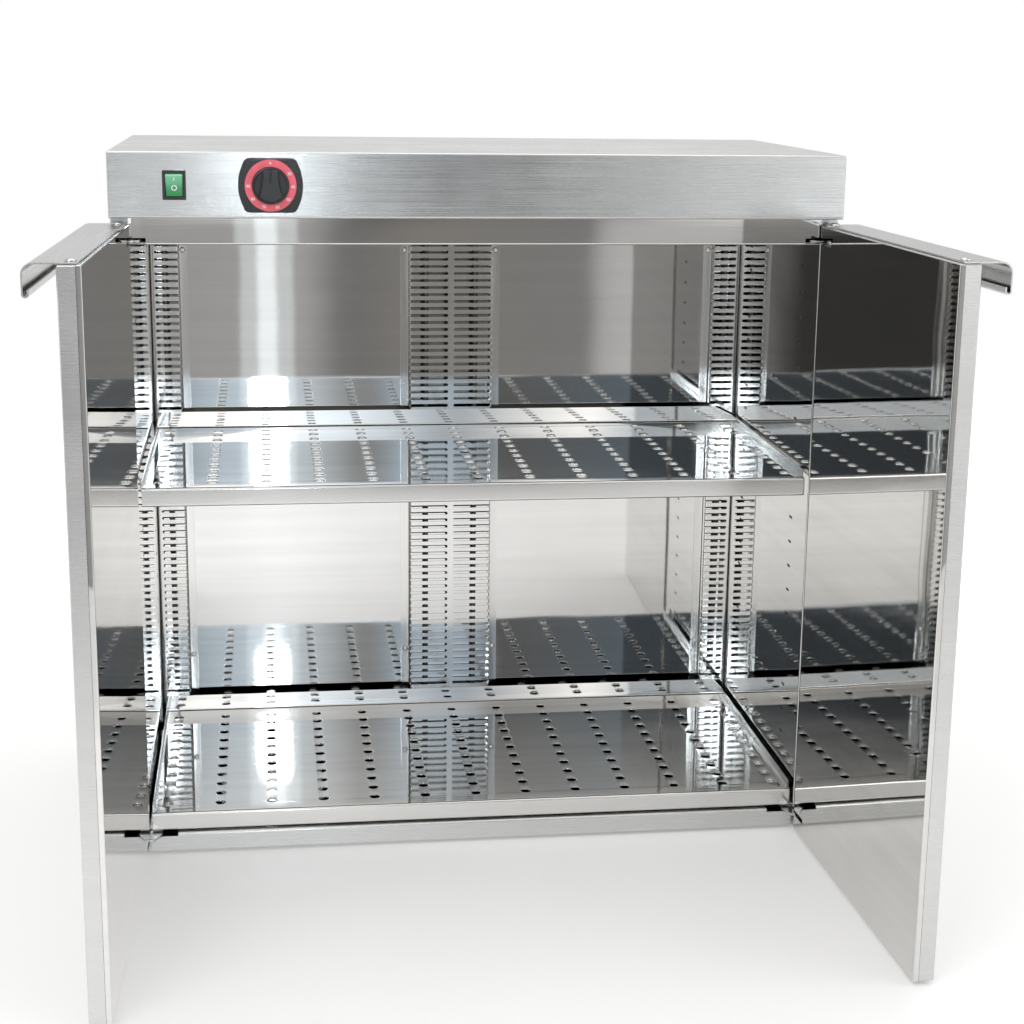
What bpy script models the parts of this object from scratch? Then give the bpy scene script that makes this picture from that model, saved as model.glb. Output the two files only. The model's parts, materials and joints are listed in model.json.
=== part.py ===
"""Heated display cabinet with two swing doors, modelled as an assembly of folded steel sheet.

Frame: metres, +Z up, the doors face -Y, X runs to the right as seen from the front.
The origin is the middle of the body's footprint on the surface it stands on.
The doors stand open, as they do in the reference view.
"""

import math

import bmesh
import bpy
from mathutils import Matrix, Vector

# Overall sizes
OVERALL_WIDTH = 0.800
OVERALL_HEIGHT = 0.800
BODY_DEPTH = 0.385
HEAD_HEIGHT = 0.070
HEAD_OVERHANG = 0.020
SIDE_WALL = 0.019
BACK_WALL = 0.008

# Sheet metal and fits
SHEET = 0.0012
LINER_SHEET = 0.0010
SEAT_GAP = 0.0003
CUT_OVERRUN = 0.0020

# Base
FOOT_HEIGHT = 0.004
FOOT_RADIUS = 0.013
FOOT_INSET = 0.035
RAIL_HEIGHT = 0.022

# Header strip under the head
HEADER_HEIGHT = 0.030
HEADER_FLANGE = 0.018

# Insulation in the roof
ROOF_WOOL_THICKNESS = 0.0175
ROOF_WOOL_FRONT = 0.034
ROOF_WOOL_REAR = 0.033
ROOF_WOOL_SIDE = 0.003

# Slots in the side walls that the shelf clips hook into
CLIP_SLOT_LENGTH = 0.012
CLIP_SLOT_HEIGHT = 0.003
CLIP_SLOT_PITCH = 0.030
CLIP_SLOT_TOP_MARGIN = 0.020
CLIP_SLOT_ABOVE_RAIL = 0.0135
CLIP_ROW_FROM_FRONT = 0.070
CLIP_ROW_FROM_BACK = 0.073
CLIP_SLOT_OF_MIDDLE_SHELF = 13

# Shelf clips
CLIP_LENGTH = 0.010
CLIP_SHEET = 0.0020
CLIP_LEDGE = 0.0150
CLIP_LEG = 0.0120
CLIP_LEG_SHEET = 0.0012
CLIP_LEG_SETBACK = 0.0006

# Shelves: perforated trays
SHELF_SHEET = 0.0012
SHELF_SIDE_PLAY = 0.0042
SHELF_FRONT_SETBACK = 0.005
SHELF_REAR_PLAY = 0.0005
SHELF_LIP = 0.0213
SHELF_UPSTAND = 0.020
SHELF_SIDE_UPSTAND = 0.008
SHELF_SIDE_SETBACK = 0.007
HOLE_DIAMETER = 0.0115
HOLE_PITCH_X = 0.060
HOLE_PITCH_Y = 0.0298
HOLE_REAR_MARGIN = 0.0285
HOLE_FRONT_MARGIN = 0.020
HOLE_SIDE_MARGIN = 0.012

# Runners under the lower shelf
RUNNER_WIDTH = 0.020
RUNNER_INSET = 0.008
RUNNER_FRONT = 0.030
RUNNER_REAR = 0.030

# Heater columns on the back wall
COLUMN_DEPTH = 0.016
COLUMN_SHEET = 0.0010
COLUMN_WIDTH = 0.107
COLUMN_FLANGE = 0.011
COLUMN_BRIDGE = 0.007
CORNER_COLUMN_WIDTH = 0.035
CORNER_COLUMN_BRIDGE = 0.0045
COLUMN_BOTTOM_PLAY = 0.0064
COLUMN_TOP_PLAY = 0.0028
COLUMN_SLOT_HEIGHT = 0.0040
COLUMN_SLOT_PITCH = 0.00907
COLUMN_SLOT_MARGIN = 0.0064
COLUMN_SLOT_EDGE = 0.0020

# Heater rods
HEATER_RADIUS = 0.00325
HEATER_SPREAD = 0.032
HEATER_RISE = 0.0427
HEATER_TAIL = 0.012
HEATER_HOLE_PLAY = 0.0004

# Doors
DOOR_SIDE_INSET = 0.002
DOOR_THICKNESS = 0.022
DOOR_SHEET = 0.0010
DOOR_BODY_GAP = 0.003
DOOR_CENTRE_GAP = 0.004
DOOR_HEAD_GAP = 0.008
DOOR_INNER_RETURN = 0.0055
DOOR_OPEN_ANGLE = math.radians(92.0)

# Door hinges: a fixed plate with a pin that the door turns on
PIVOT_SETBACK = 0.0075
HINGE_PLATE = 0.003
HINGE_PLATE_TAIL = 0.044
HINGE_PLATE_WIDTH = 0.030
HINGE_PLATE_OUTER = 0.0055
HINGE_EAR_RADIUS = 0.0075
HINGE_SHOULDER_SETBACK = 0.002
HINGE_NOSE_WIDTH = 0.0155
HINGE_NOSE_REACH = 0.0025
HINGE_PIN_RADIUS = 0.004
HINGE_PIN_LENGTH = 0.014
HINGE_NOTCH_PLAY = 0.0015
HINGE_SLOT_REACH_BOTTOM = 0.033
HINGE_SLOT_REACH_TOP = 0.018
HINGE_SLOT_END = 0.0015
HINGE_SLOT_DROP = 0.0035
BEARING_LENGTH = 0.018
BEARING_HEIGHT = 0.0122
BEARING_BORE_PLAY = 0.0003
BEARING_SEAT = 0.0018

# Door handles: a folded strip over the top edge of the door
HANDLE_SHEET = 0.0015
HANDLE_REACH = 0.030
HANDLE_DROP = 0.030
HANDLE_BEND = 0.010
HANDLE_HEM = 0.0025
HANDLE_HEM_UP = 0.004
HANDLE_SETBACK = 0.004
SCREW_HEAD_RADIUS = 0.0055
SCREW_HEAD_HEIGHT = 0.0025
SCREW_SHANK_RADIUS = 0.0020
SCREW_SHANK_LENGTH = 0.010
SCREW_FROM_PIN = 0.0045
SCREW_FROM_FREE_EDGE = 0.015

# Power switch on the head
SWITCH_FROM_SIDE = 0.0695
SWITCH_BEZEL_WIDTH = 0.0246
SWITCH_BEZEL_HEIGHT = 0.0308
SWITCH_BEZEL_DEPTH = 0.0020
SWITCH_BODY_WIDTH = 0.0220
SWITCH_BODY_HEIGHT = 0.0280
SWITCH_BODY_DEPTH = 0.0230
SWITCH_CUTOUT_PLAY = 0.0003
ROCKER_WIDTH = 0.0178
ROCKER_RADIUS = 0.0121
ROCKER_PLAY = 0.0004
ROCKER_CENTRE_RISE = 0.0030
ROCKER_TIP_RISE = 0.0054
ROCKER_AXIS_SINK = 0.0015
ROCKER_BACK = 0.0042
ROCKER_WELL_DEPTH = 0.0120
ROCKER_TILT = math.radians(11.0)

# Thermostat on the head
DIAL_FROM_SWITCH = 0.1008
ESCUTCHEON_WIDTH = 0.0684
ESCUTCHEON_HEIGHT = 0.0574
ESCUTCHEON_CORNER_WIDTH = 0.0510
ESCUTCHEON_DEPTH = 0.0040
SCALE_RADIUS = 0.0272
SCALE_DEPTH = 0.0010
SCALE_PLAY = 0.0004
KNOB_RADIUS = 0.01925
KNOB_SKIRT = 0.0055
KNOB_GRIP_RISE = 0.0100
KNOB_BORE_DEPTH = 0.0080
SHAFT_RADIUS = 0.0030
SHAFT_PLAY = 0.0003
SHAFT_HOLE_RADIUS = 0.0050
SHAFT_REACH = 0.0070
THERMOSTAT_WIDTH = 0.040
THERMOSTAT_HEIGHT = 0.034
THERMOSTAT_DEPTH = 0.032
CAPILLARY_RADIUS = 0.0011
CAPILLARY_HOLE_PLAY = 0.0008
CAPILLARY_SIDE = 0.012
CAPILLARY_DEPTH = 0.022
CAPILLARY_RISE = 0.0042
CAPILLARY_BEND = 0.008
BULB_RADIUS = 0.003
BULB_LENGTH = 0.080
BULB_DROP = 0.010
BULB_BEHIND = 0.0035

# Mains entry at the back of the head
GLAND_FROM_SIDE = 0.070
GLAND_RADIUS = 0.010
GLAND_NUT_RADIUS = 0.012
GLAND_LENGTH = 0.016
GLAND_INSIDE = 0.012
GLAND_BORE = 0.004
TERMINAL_LENGTH = 0.050
TERMINAL_DEPTH = 0.022
TERMINAL_HEIGHT = 0.018
TERMINAL_BEHIND = 0.060

# Facets of round pieces
ROUND_FACETS = 32
SMALL_FACETS = 12
HOLE_FACETS = 8
ARC_STEPS = 6

# Places that follow from the sizes
FRONT = -BODY_DEPTH / 2
REAR = BODY_DEPTH / 2
HALF_WIDTH = OVERALL_WIDTH / 2
INNER_HALF = HALF_WIDTH - SIDE_WALL
LINER_OUTER = INNER_HALF + LINER_SHEET
CAVITY_OUTER = HALF_WIDTH - SHEET - SEAT_GAP
INNER_BACK = REAR - BACK_WALL
HEAD_BASE = OVERALL_HEIGHT - HEAD_HEIGHT
HEAD_FRONT = FRONT - HEAD_OVERHANG
RAIL_TOP = FOOT_HEIGHT + RAIL_HEIGHT
FLOOR_BOTTOM = RAIL_TOP + SEAT_GAP
FLOOR_TOP = FLOOR_BOTTOM + LINER_SHEET
WALL_BOTTOM = FLOOR_TOP + SEAT_GAP
BODY_TOP = HEAD_BASE - SEAT_GAP
HEADER_BOTTOM = HEAD_BASE - HEADER_HEIGHT
LINER_TOP = HEADER_BOTTOM + SHEET + SEAT_GAP
CEILING_BOTTOM = LINER_TOP + SEAT_GAP
CEILING_TOP = CEILING_BOTTOM + LINER_SHEET
LOWER_PLATE_TOP = FLOOR_BOTTOM - SEAT_GAP
UPPER_PLATE_BOTTOM = CEILING_TOP + SEAT_GAP
COLUMN_FRONT = INNER_BACK - COLUMN_DEPTH
COLUMN_BOTTOM = WALL_BOTTOM + COLUMN_BOTTOM_PLAY
COLUMN_TOP = CEILING_BOTTOM - COLUMN_TOP_PLAY
HEATER_BEND_BOTTOM = FLOOR_TOP + HEATER_RISE
CLIP_SLOT_FIRST = RAIL_TOP + CLIP_SLOT_ABOVE_RAIL
CLIP_ROWS = {"front": FRONT + CLIP_ROW_FROM_FRONT, "rear": INNER_BACK - CLIP_ROW_FROM_BACK}
HEATER_Y = (COLUMN_FRONT + COLUMN_SHEET + INNER_BACK) / 2
LOWER_SHELF_TOP = WALL_BOTTOM + SHELF_LIP
MIDDLE_SLOT_Z = CLIP_SLOT_FIRST + CLIP_SLOT_PITCH * CLIP_SLOT_OF_MIDDLE_SHELF
MIDDLE_SHELF_TOP = MIDDLE_SLOT_Z + CLIP_SHEET / 2 + SEAT_GAP + SHELF_SHEET
DOOR_WIDTH = HALF_WIDTH - DOOR_SIDE_INSET - DOOR_CENTRE_GAP / 2
PIVOT_X = HALF_WIDTH - DOOR_SIDE_INSET - PIVOT_SETBACK
PIVOT_Y = FRONT - DOOR_BODY_GAP - DOOR_THICKNESS / 2
DOOR_BOTTOM = FOOT_HEIGHT
DOOR_TOP = HEAD_BASE - DOOR_HEAD_GAP
DOOR_FREE = DOOR_WIDTH - PIVOT_SETBACK
DOOR_HALF = DOOR_THICKNESS / 2
CONTROL_Z = HEAD_BASE + HEAD_HEIGHT / 2
SWITCH_X = -HALF_WIDTH + SWITCH_FROM_SIDE
DIAL_X = SWITCH_X + DIAL_FROM_SWITCH
GLAND_X = HALF_WIDTH - GLAND_FROM_SIDE
SIDES = {"left": -1, "right": 1}

parts = None
cutters = None


def clear_scene():
    """Remove whatever the start-up file brought along."""
    for thing in list(bpy.data.objects):
        bpy.data.objects.remove(thing, do_unlink=True)


def make_collection(name):
    group = bpy.data.collections.new(name)
    bpy.context.scene.collection.children.link(group)
    return group


def make_material(name, colour, roughness, metallic):
    material = bpy.data.materials.new(name)
    material.use_nodes = True
    shader = material.node_tree.nodes["Principled BSDF"]
    shader.inputs["Base Color"].default_value = (*colour, 1.0)
    shader.inputs["Roughness"].default_value = roughness
    shader.inputs["Metallic"].default_value = metallic
    material.diffuse_color = (*colour, 1.0)
    return material


def place(name, mesh, material=None, parent=None):
    """Put a mesh in the parts collection, or among the cutters when it has no material."""
    thing = bpy.data.objects.new(name, mesh)
    if material is None:
        cutters.objects.link(thing)
        thing.hide_render = True
        thing.display_type = "WIRE"
    else:
        parts.objects.link(thing)
        mesh.materials.append(material)
    thing.parent = parent
    return thing


def add_box(bm, x, y, z):
    """Add a box between the two values of each axis."""
    centre = Vector(((x[0] + x[1]) / 2, (y[0] + y[1]) / 2, (z[0] + z[1]) / 2))
    size = Vector((abs(x[1] - x[0]), abs(y[1] - y[0]), abs(z[1] - z[0])))
    matrix = Matrix.Translation(centre) @ Matrix.Diagonal((*size, 1.0))
    bmesh.ops.create_cube(bm, size=1.0, matrix=matrix)


def finish_mesh(name, bm):
    mesh = bpy.data.meshes.new(name)
    bm.to_mesh(mesh)
    bm.free()
    return mesh


def box(name, x, y, z, material=None, parent=None):
    bm = bmesh.new()
    add_box(bm, x, y, z)
    return place(name, finish_mesh(name, bm), material, parent)


def boxes(name, spans, material=None, parent=None):
    """Several separate boxes in one mesh, used as a cutter."""
    bm = bmesh.new()
    for x, y, z in spans:
        add_box(bm, x, y, z)
    return place(name, finish_mesh(name, bm), material, parent)


def pegs(name, centres, radius, z, facets, material=None, parent=None):
    """Several upright round pegs in one mesh, used as a cutter."""
    turn = Matrix.Rotation(math.pi / facets, 4, "Z")
    bm = bmesh.new()
    for x, y in centres:
        middle = Matrix.Translation((x, y, (z[0] + z[1]) / 2))
        bmesh.ops.create_cone(bm, cap_ends=True, segments=facets, radius1=radius, radius2=radius,
                              depth=z[1] - z[0], matrix=middle @ turn)
    return place(name, finish_mesh(name, bm), material, parent)


def cylinder(name, centre, axis, radius, length, facets, material=None, parent=None):
    """A round bar whose middle is at centre, along the axis X, Y or Z."""
    turn = {
        "X": Matrix.Rotation(math.radians(90), 4, "Y"),
        "Y": Matrix.Rotation(math.radians(90), 4, "X"),
        "Z": Matrix.Identity(4),
    }[axis]
    bm = bmesh.new()
    bmesh.ops.create_cone(bm, cap_ends=True, segments=facets, radius1=radius, radius2=radius,
                          depth=length, matrix=Matrix.Translation(centre) @ turn)
    thing = place(name, finish_mesh(name, bm), material, parent)
    thing.data.shade_smooth()
    thing.data.set_sharp_from_angle(angle=math.radians(40))
    return thing


def solidify(thing, thickness, offset):
    skin = thing.modifiers.new("Sheet", "SOLIDIFY")
    skin.thickness = thickness
    skin.offset = offset
    skin.use_even_offset = True


def pan(name, x, y, z, open_sides, thickness, material, parent=None):
    """A box of sheet metal, with its walls inside the given size and some sides left open."""
    bm = bmesh.new()
    add_box(bm, x, y, z)
    doomed = []
    for face in bm.faces:
        for side in open_sides:
            if face.normal.dot(Vector(side)) > 0.5:
                doomed.append(face)
    bmesh.ops.delete(bm, geom=doomed, context="FACES")
    thing = place(name, finish_mesh(name, bm), material, parent)
    solidify(thing, thickness, -1.0)
    return thing


def folded(name, path, axis, span, thickness, material, parent=None):
    """Sheet folded along a path: the path is the middle of the sheet, the span its width.

    The path's points are (y, z) where the width runs along X, (x, z) along Y, (x, y) along Z.
    """
    place_point = {
        "X": lambda a, b, w: Vector((w, a, b)),
        "Y": lambda a, b, w: Vector((a, w, b)),
        "Z": lambda a, b, w: Vector((a, b, w)),
    }[axis]
    bm = bmesh.new()
    row = [bm.verts.new(place_point(a, b, span[0])) for a, b in path]
    edges = [bm.edges.new(pair) for pair in zip(row, row[1:])]
    swept = bmesh.ops.extrude_edge_only(bm, edges=edges)["geom"]
    moved = [item for item in swept if isinstance(item, bmesh.types.BMVert)]
    shift = place_point(0.0, 0.0, span[1]) - place_point(0.0, 0.0, span[0])
    bmesh.ops.translate(bm, verts=moved, vec=shift)
    thing = place(name, finish_mesh(name, bm), material, parent)
    solidify(thing, thickness, 0.0)
    return thing


def mesh_of_curve(name, curve):
    """The mesh of a curve, with its seams closed."""
    guide = bpy.data.objects.new(name + "_guide", curve)
    parts.objects.link(guide)
    bpy.context.view_layer.update()
    raw = bpy.data.meshes.new_from_object(guide.evaluated_get(bpy.context.evaluated_depsgraph_get()))
    bpy.data.objects.remove(guide, do_unlink=True)
    bm = bmesh.new()
    bm.from_mesh(raw)
    bpy.data.meshes.remove(raw)
    bmesh.ops.remove_doubles(bm, verts=bm.verts, dist=SEAT_GAP / 100)
    bmesh.ops.recalc_face_normals(bm, faces=bm.faces)
    return finish_mesh(name, bm)


def plate(name, outline, plane, middle, thickness, material=None, parent=None):
    """A flat outline with a thickness, from a filled 2D curve made a mesh.

    The plane is XY, XZ or YZ, and middle is the place of the plate's mid-plane on the other axis.
    """
    curve = bpy.data.curves.new(name, "CURVE")
    curve.dimensions = "2D"
    curve.fill_mode = "BOTH"
    curve.extrude = thickness / 2
    spline = curve.splines.new("POLY")
    spline.points.add(len(outline) - 1)
    for point, (a, b) in zip(spline.points, outline):
        point.co = (a, b, 0.0, 1.0)
    spline.use_cyclic_u = True
    mesh = mesh_of_curve(name, curve)
    turn = {
        "XY": Matrix.Identity(4),
        "XZ": Matrix.Rotation(math.radians(90), 4, "X"),
        "YZ": Matrix(((0, 0, 1, 0), (1, 0, 0, 0), (0, 1, 0, 0), (0, 0, 0, 1))),
    }[plane]
    out = {"XY": Vector((0, 0, middle)), "XZ": Vector((0, middle, 0)), "YZ": Vector((middle, 0, 0))}[plane]
    mesh.transform(Matrix.Translation(out) @ turn)
    return place(name, mesh, material, parent)


def tube(name, points, radius, material):
    """A round bar along a list of points, from a bevelled curve made a mesh."""
    curve = bpy.data.curves.new(name, "CURVE")
    curve.dimensions = "3D"
    curve.bevel_depth = radius
    curve.bevel_resolution = 1
    curve.use_fill_caps = True
    spline = curve.splines.new("POLY")
    spline.points.add(len(points) - 1)
    for point, place_on_path in zip(spline.points, points):
        point.co = (*place_on_path, 1.0)
    mesh = mesh_of_curve(name, curve)
    thing = place(name, mesh, material)
    mesh.shade_smooth()
    mesh.set_sharp_from_angle(angle=math.radians(60))
    return thing


def combine(thing, other, operation):
    step = thing.modifiers.new(operation.title(), "BOOLEAN")
    step.operation = operation
    step.solver = "EXACT"
    step.object = other


def cut(thing, *others):
    for other in others:
        combine(thing, other, "DIFFERENCE")


def join(thing, *others):
    for other in others:
        combine(thing, other, "UNION")


def arc(centre, radius, start, stop, steps):
    """Points of an arc in a plane, from the start angle to the stop angle."""
    points = []
    for index in range(steps + 1):
        angle = start + (stop - start) * index / steps
        points.append((centre[0] + radius * math.cos(angle), centre[1] + radius * math.sin(angle)))
    return points


def fitting(length, pitch):
    """How many places of a row fit on a length, with one at each end."""
    return math.floor(length / pitch) + 1


def mirrored(span, side):
    """An X span on the right-hand side, taken to the given side."""
    return (span[0] * side, span[1] * side)


def build_base(finish):
    """The pan with the front rail, the floor sheet over it and the four feet."""
    width = (-HALF_WIDTH, HALF_WIDTH)
    base = pan("base_pan", width, (FRONT, REAR), (FOOT_HEIGHT, RAIL_TOP), [(0, 0, 1)], SHEET, finish["casing"])
    for label, side in SIDES.items():
        slot_x = mirrored((INNER_HALF - HINGE_SLOT_REACH_BOTTOM, HALF_WIDTH - HINGE_SLOT_END), side)
        slot_z = (LOWER_PLATE_TOP - HINGE_PLATE - HINGE_SLOT_DROP, RAIL_TOP + CUT_OVERRUN)
        cut(base, box("base_slot_" + label, slot_x, (FRONT - CUT_OVERRUN, FRONT + CUT_OVERRUN), slot_z))
    deep = (FRONT + SHEET + SEAT_GAP, REAR - SHEET - SEAT_GAP)
    box("base_floor", (-CAVITY_OUTER, CAVITY_OUTER), deep, (FLOOR_BOTTOM, FLOOR_TOP), finish["liner"])
    for label, side in SIDES.items():
        for place_name, y in (("front", FRONT + FOOT_INSET), ("rear", REAR - FOOT_INSET)):
            centre = Vector((side * (HALF_WIDTH - FOOT_INSET), y, (FOOT_HEIGHT - SEAT_GAP) / 2))
            cylinder("foot_" + place_name + "_" + label, centre, "Z", FOOT_RADIUS,
                     FOOT_HEIGHT - SEAT_GAP, SMALL_FACETS, finish["foot"])


def clip_slot_cutter(label, side):
    """Both rows of hook slots of one side wall."""
    spans = []
    wall = mirrored((INNER_HALF - CUT_OVERRUN, LINER_OUTER + CUT_OVERRUN), side)
    count = fitting(LINER_TOP - CLIP_SLOT_TOP_MARGIN - CLIP_SLOT_FIRST, CLIP_SLOT_PITCH)
    for row in CLIP_ROWS.values():
        y = (row - CLIP_SLOT_LENGTH / 2, row + CLIP_SLOT_LENGTH / 2)
        for index in range(count):
            z = CLIP_SLOT_FIRST + CLIP_SLOT_PITCH * index
            spans.append((wall, y, (z - CLIP_SLOT_HEIGHT / 2, z + CLIP_SLOT_HEIGHT / 2)))
    return boxes("clip_slots_" + label, spans)


def build_walls(finish):
    """Outer side casings, back, side liners and the wool between them."""
    for label, side in SIDES.items():
        return_start = LINER_OUTER + SEAT_GAP
        skin = HALF_WIDTH - SHEET / 2
        path = [(side * return_start, FRONT + SHEET / 2), (side * skin, FRONT + SHEET / 2), (side * skin, REAR)]
        casing = folded("side_casing_" + label, path, "Z", (FLOOR_BOTTOM, BODY_TOP), SHEET, finish["casing"])
        slot_x = mirrored((return_start - CUT_OVERRUN, HALF_WIDTH - HINGE_SLOT_END), side)
        slot_y = (FRONT - CUT_OVERRUN, FRONT + CUT_OVERRUN)
        cut(casing, box("casing_slot_" + label, slot_x, slot_y, upper_slot_height()))
        liner_x = mirrored((INNER_HALF, LINER_OUTER), side)
        liner = box("side_liner_" + label, liner_x, (FRONT, INNER_BACK + LINER_SHEET), (WALL_BOTTOM, LINER_TOP),
                    finish["mirror"])
        cut(liner, clip_slot_cutter(label, side))
        wool_x = mirrored((LINER_OUTER + SEAT_GAP, CAVITY_OUTER), side)
        wool_y = (FRONT + SHEET + SEAT_GAP, REAR - SHEET - SEAT_GAP)
        box("insulation_" + label, wool_x, wool_y, (WALL_BOTTOM, LINER_TOP - SEAT_GAP), finish["wool"])
    back_x = (-CAVITY_OUTER, CAVITY_OUTER)
    box("back_panel", back_x, (REAR - SHEET, REAR), (FLOOR_BOTTOM, BODY_TOP), finish["casing"])


def upper_slot_height():
    """The height that the slots for the upper hinge plates take up."""
    return (LINER_TOP, UPPER_PLATE_BOTTOM + HINGE_PLATE + HINGE_NOTCH_PLAY)


def build_roof(finish):
    """The header strip, the sheet that is both back liner and ceiling, and the wool above it."""
    sheet_middle = FRONT + SHEET / 2
    flange_middle = HEADER_BOTTOM + SHEET / 2
    path = [(sheet_middle, BODY_TOP), (sheet_middle, flange_middle), (FRONT + HEADER_FLANGE, flange_middle)]
    half = INNER_HALF - SEAT_GAP
    header = folded("header_strip", path, "X", (-half, half), SHEET, finish["mirror"])
    ceiling_middle = CEILING_BOTTOM + LINER_SHEET / 2
    back_middle = INNER_BACK + LINER_SHEET / 2
    fold = [(FRONT + SHEET + SEAT_GAP, ceiling_middle), (back_middle, ceiling_middle), (back_middle, WALL_BOTTOM)]
    liner = folded("back_and_ceiling_liner", fold, "X", (-half, half), LINER_SHEET, finish["mirror"])
    for label, side in SIDES.items():
        slot_x = mirrored((INNER_HALF - HINGE_SLOT_REACH_TOP, HALF_WIDTH), side)
        slot_y = (FRONT - CUT_OVERRUN, FRONT + CUT_OVERRUN)
        cut(header, box("header_slot_" + label, slot_x, slot_y, upper_slot_height()))
    for index, x in enumerate(heater_places()):
        hole = cylinder("ceiling_hole_%d" % index, Vector((x, HEATER_Y, CEILING_TOP)), "Z",
                        HEATER_RADIUS + HEATER_HOLE_PLAY, LINER_SHEET + CUT_OVERRUN * 2, SMALL_FACETS)
        cut(liner, hole)
    capillary_hole = cylinder("ceiling_hole_capillary", Vector((capillary_x(), bulb_y(), CEILING_TOP)), "Z",
                              CAPILLARY_RADIUS + CAPILLARY_HOLE_PLAY, LINER_SHEET + CUT_OVERRUN * 2, SMALL_FACETS)
    cut(liner, capillary_hole)
    wool_x = (-INNER_HALF + ROOF_WOOL_SIDE, INNER_HALF - ROOF_WOOL_SIDE)
    wool_z = (UPPER_PLATE_BOTTOM, UPPER_PLATE_BOTTOM + ROOF_WOOL_THICKNESS)
    box("insulation_top", wool_x, (FRONT + ROOF_WOOL_FRONT, REAR - ROOF_WOOL_REAR), wool_z, finish["wool"])


def heater_places():
    """X of each vertical heater leg: the pair behind the middle column, then the corners."""
    corner = INNER_HALF - CORNER_COLUMN_WIDTH / 2
    return [-HEATER_SPREAD, HEATER_SPREAD, -corner, corner]


def build_head(finish):
    """The control head: the cover, and the folded tray that closes it below and behind."""
    width = (-HALF_WIDTH, HALF_WIDTH)
    cover = pan("head_cover", width, (HEAD_FRONT, REAR), (HEAD_BASE, OVERALL_HEIGHT),
                [(0, 0, -1), (0, 1, 0)], SHEET, finish["brushed"])
    window_half_x = SWITCH_BODY_WIDTH / 2 + SWITCH_CUTOUT_PLAY
    window_half_z = SWITCH_BODY_HEIGHT / 2 + SWITCH_CUTOUT_PLAY
    through = (HEAD_FRONT - CUT_OVERRUN, HEAD_FRONT + SHEET + CUT_OVERRUN)
    cut(cover, box("switch_window", (SWITCH_X - window_half_x, SWITCH_X + window_half_x), through,
                   (CONTROL_Z - window_half_z, CONTROL_Z + window_half_z)))
    cut(cover, cylinder("dial_window", Vector((DIAL_X, HEAD_FRONT, CONTROL_Z)), "Y", SHAFT_HOLE_RADIUS,
                        SHEET * 2 + CUT_OVERRUN * 2, SMALL_FACETS))
    floor_middle = HEAD_BASE + SHEET / 2
    back_middle = REAR - SHEET / 2
    path = [(HEAD_FRONT + SHEET + SEAT_GAP, floor_middle), (back_middle, floor_middle),
            (back_middle, OVERALL_HEIGHT - SHEET - SEAT_GAP)]
    tray = folded("head_tray", path, "X", (-CAVITY_OUTER, CAVITY_OUTER), SHEET, finish["brushed"])
    cut(tray, cylinder("head_floor_hole", Vector((capillary_x(), capillary_y(), HEAD_BASE)), "Z",
                       CAPILLARY_RADIUS + CAPILLARY_HOLE_PLAY, SHEET * 2 + CUT_OVERRUN * 2, SMALL_FACETS))
    cut(tray, cylinder("gland_hole", Vector((GLAND_X, REAR, CONTROL_Z)), "Y", GLAND_RADIUS + SEAT_GAP,
                       SHEET * 2 + CUT_OVERRUN * 2, SMALL_FACETS))


def build_clips(finish):
    """The four clips under the middle shelf: ledge, tongue and stiffening leg in one outline."""
    ledge_start = INNER_HALF - CLIP_LEDGE
    tongue_end = LINER_OUTER - SEAT_GAP
    leg_outer = INNER_HALF - CLIP_LEG_SETBACK
    leg_inner = leg_outer - CLIP_LEG_SHEET
    top = MIDDLE_SLOT_Z + CLIP_SHEET / 2
    under = MIDDLE_SLOT_Z - CLIP_SHEET / 2
    shape = [(ledge_start, top), (ledge_start, under), (leg_inner, under), (leg_inner, under - CLIP_LEG),
             (leg_outer, under - CLIP_LEG), (leg_outer, under), (tongue_end, under), (tongue_end, top)]
    for label, side in SIDES.items():
        outline = [(side * x, z) for x, z in shape]
        for place_name, row in CLIP_ROWS.items():
            plate("shelf_clip_" + place_name + "_" + label, outline, "XZ", row, CLIP_LENGTH, finish["steel"])


def build_shelf(name, top, finish, parent):
    """A perforated tray with a lip in front, an upstand behind and low upstands at the sides."""
    half = INNER_HALF - SHELF_SIDE_PLAY
    front = FRONT + SHELF_FRONT_SETBACK
    rear = COLUMN_FRONT - SHELF_REAR_PLAY
    local = top - parent.location.z
    front_y = front - parent.location.y
    rear_y = rear - parent.location.y
    deck = box(name, (-half, half), (front_y, rear_y), (local - SHELF_SHEET, local), finish["mirror"], parent)
    lip = box(name + "_lip", (-half, half), (front_y, front_y + SHELF_SHEET), (local - SHELF_LIP, local),
              None, parent)
    upstand = box(name + "_upstand", (-half, half), (rear_y - SHELF_SHEET, rear_y),
                  (local - SHELF_SHEET, local + SHELF_UPSTAND), None, parent)
    join(deck, lip, upstand)
    for label, side in SIDES.items():
        flange = box(name + "_flange_" + label, mirrored((half - SHELF_SHEET, half), side),
                     (front_y + SHELF_SIDE_SETBACK, rear_y), (local - SHELF_SHEET, local + SHELF_SIDE_UPSTAND),
                     None, parent)
        join(deck, flange)
    centres = []
    either_side = fitting(half - HOLE_SIDE_MARGIN, HOLE_PITCH_X) - 1
    rows = fitting(rear_y - front_y - HOLE_REAR_MARGIN - HOLE_FRONT_MARGIN, HOLE_PITCH_Y)
    for column in range(-either_side, either_side + 1):
        for row in range(rows):
            y = rear_y - HOLE_REAR_MARGIN - row * HOLE_PITCH_Y
            centres.append((column * HOLE_PITCH_X, y))
    bore_z = (local - SHELF_SHEET - CUT_OVERRUN, local + CUT_OVERRUN)
    cut(deck, pegs(name + "_holes", centres, HOLE_DIAMETER / 2, bore_z, HOLE_FACETS, None, parent))
    return deck


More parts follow.
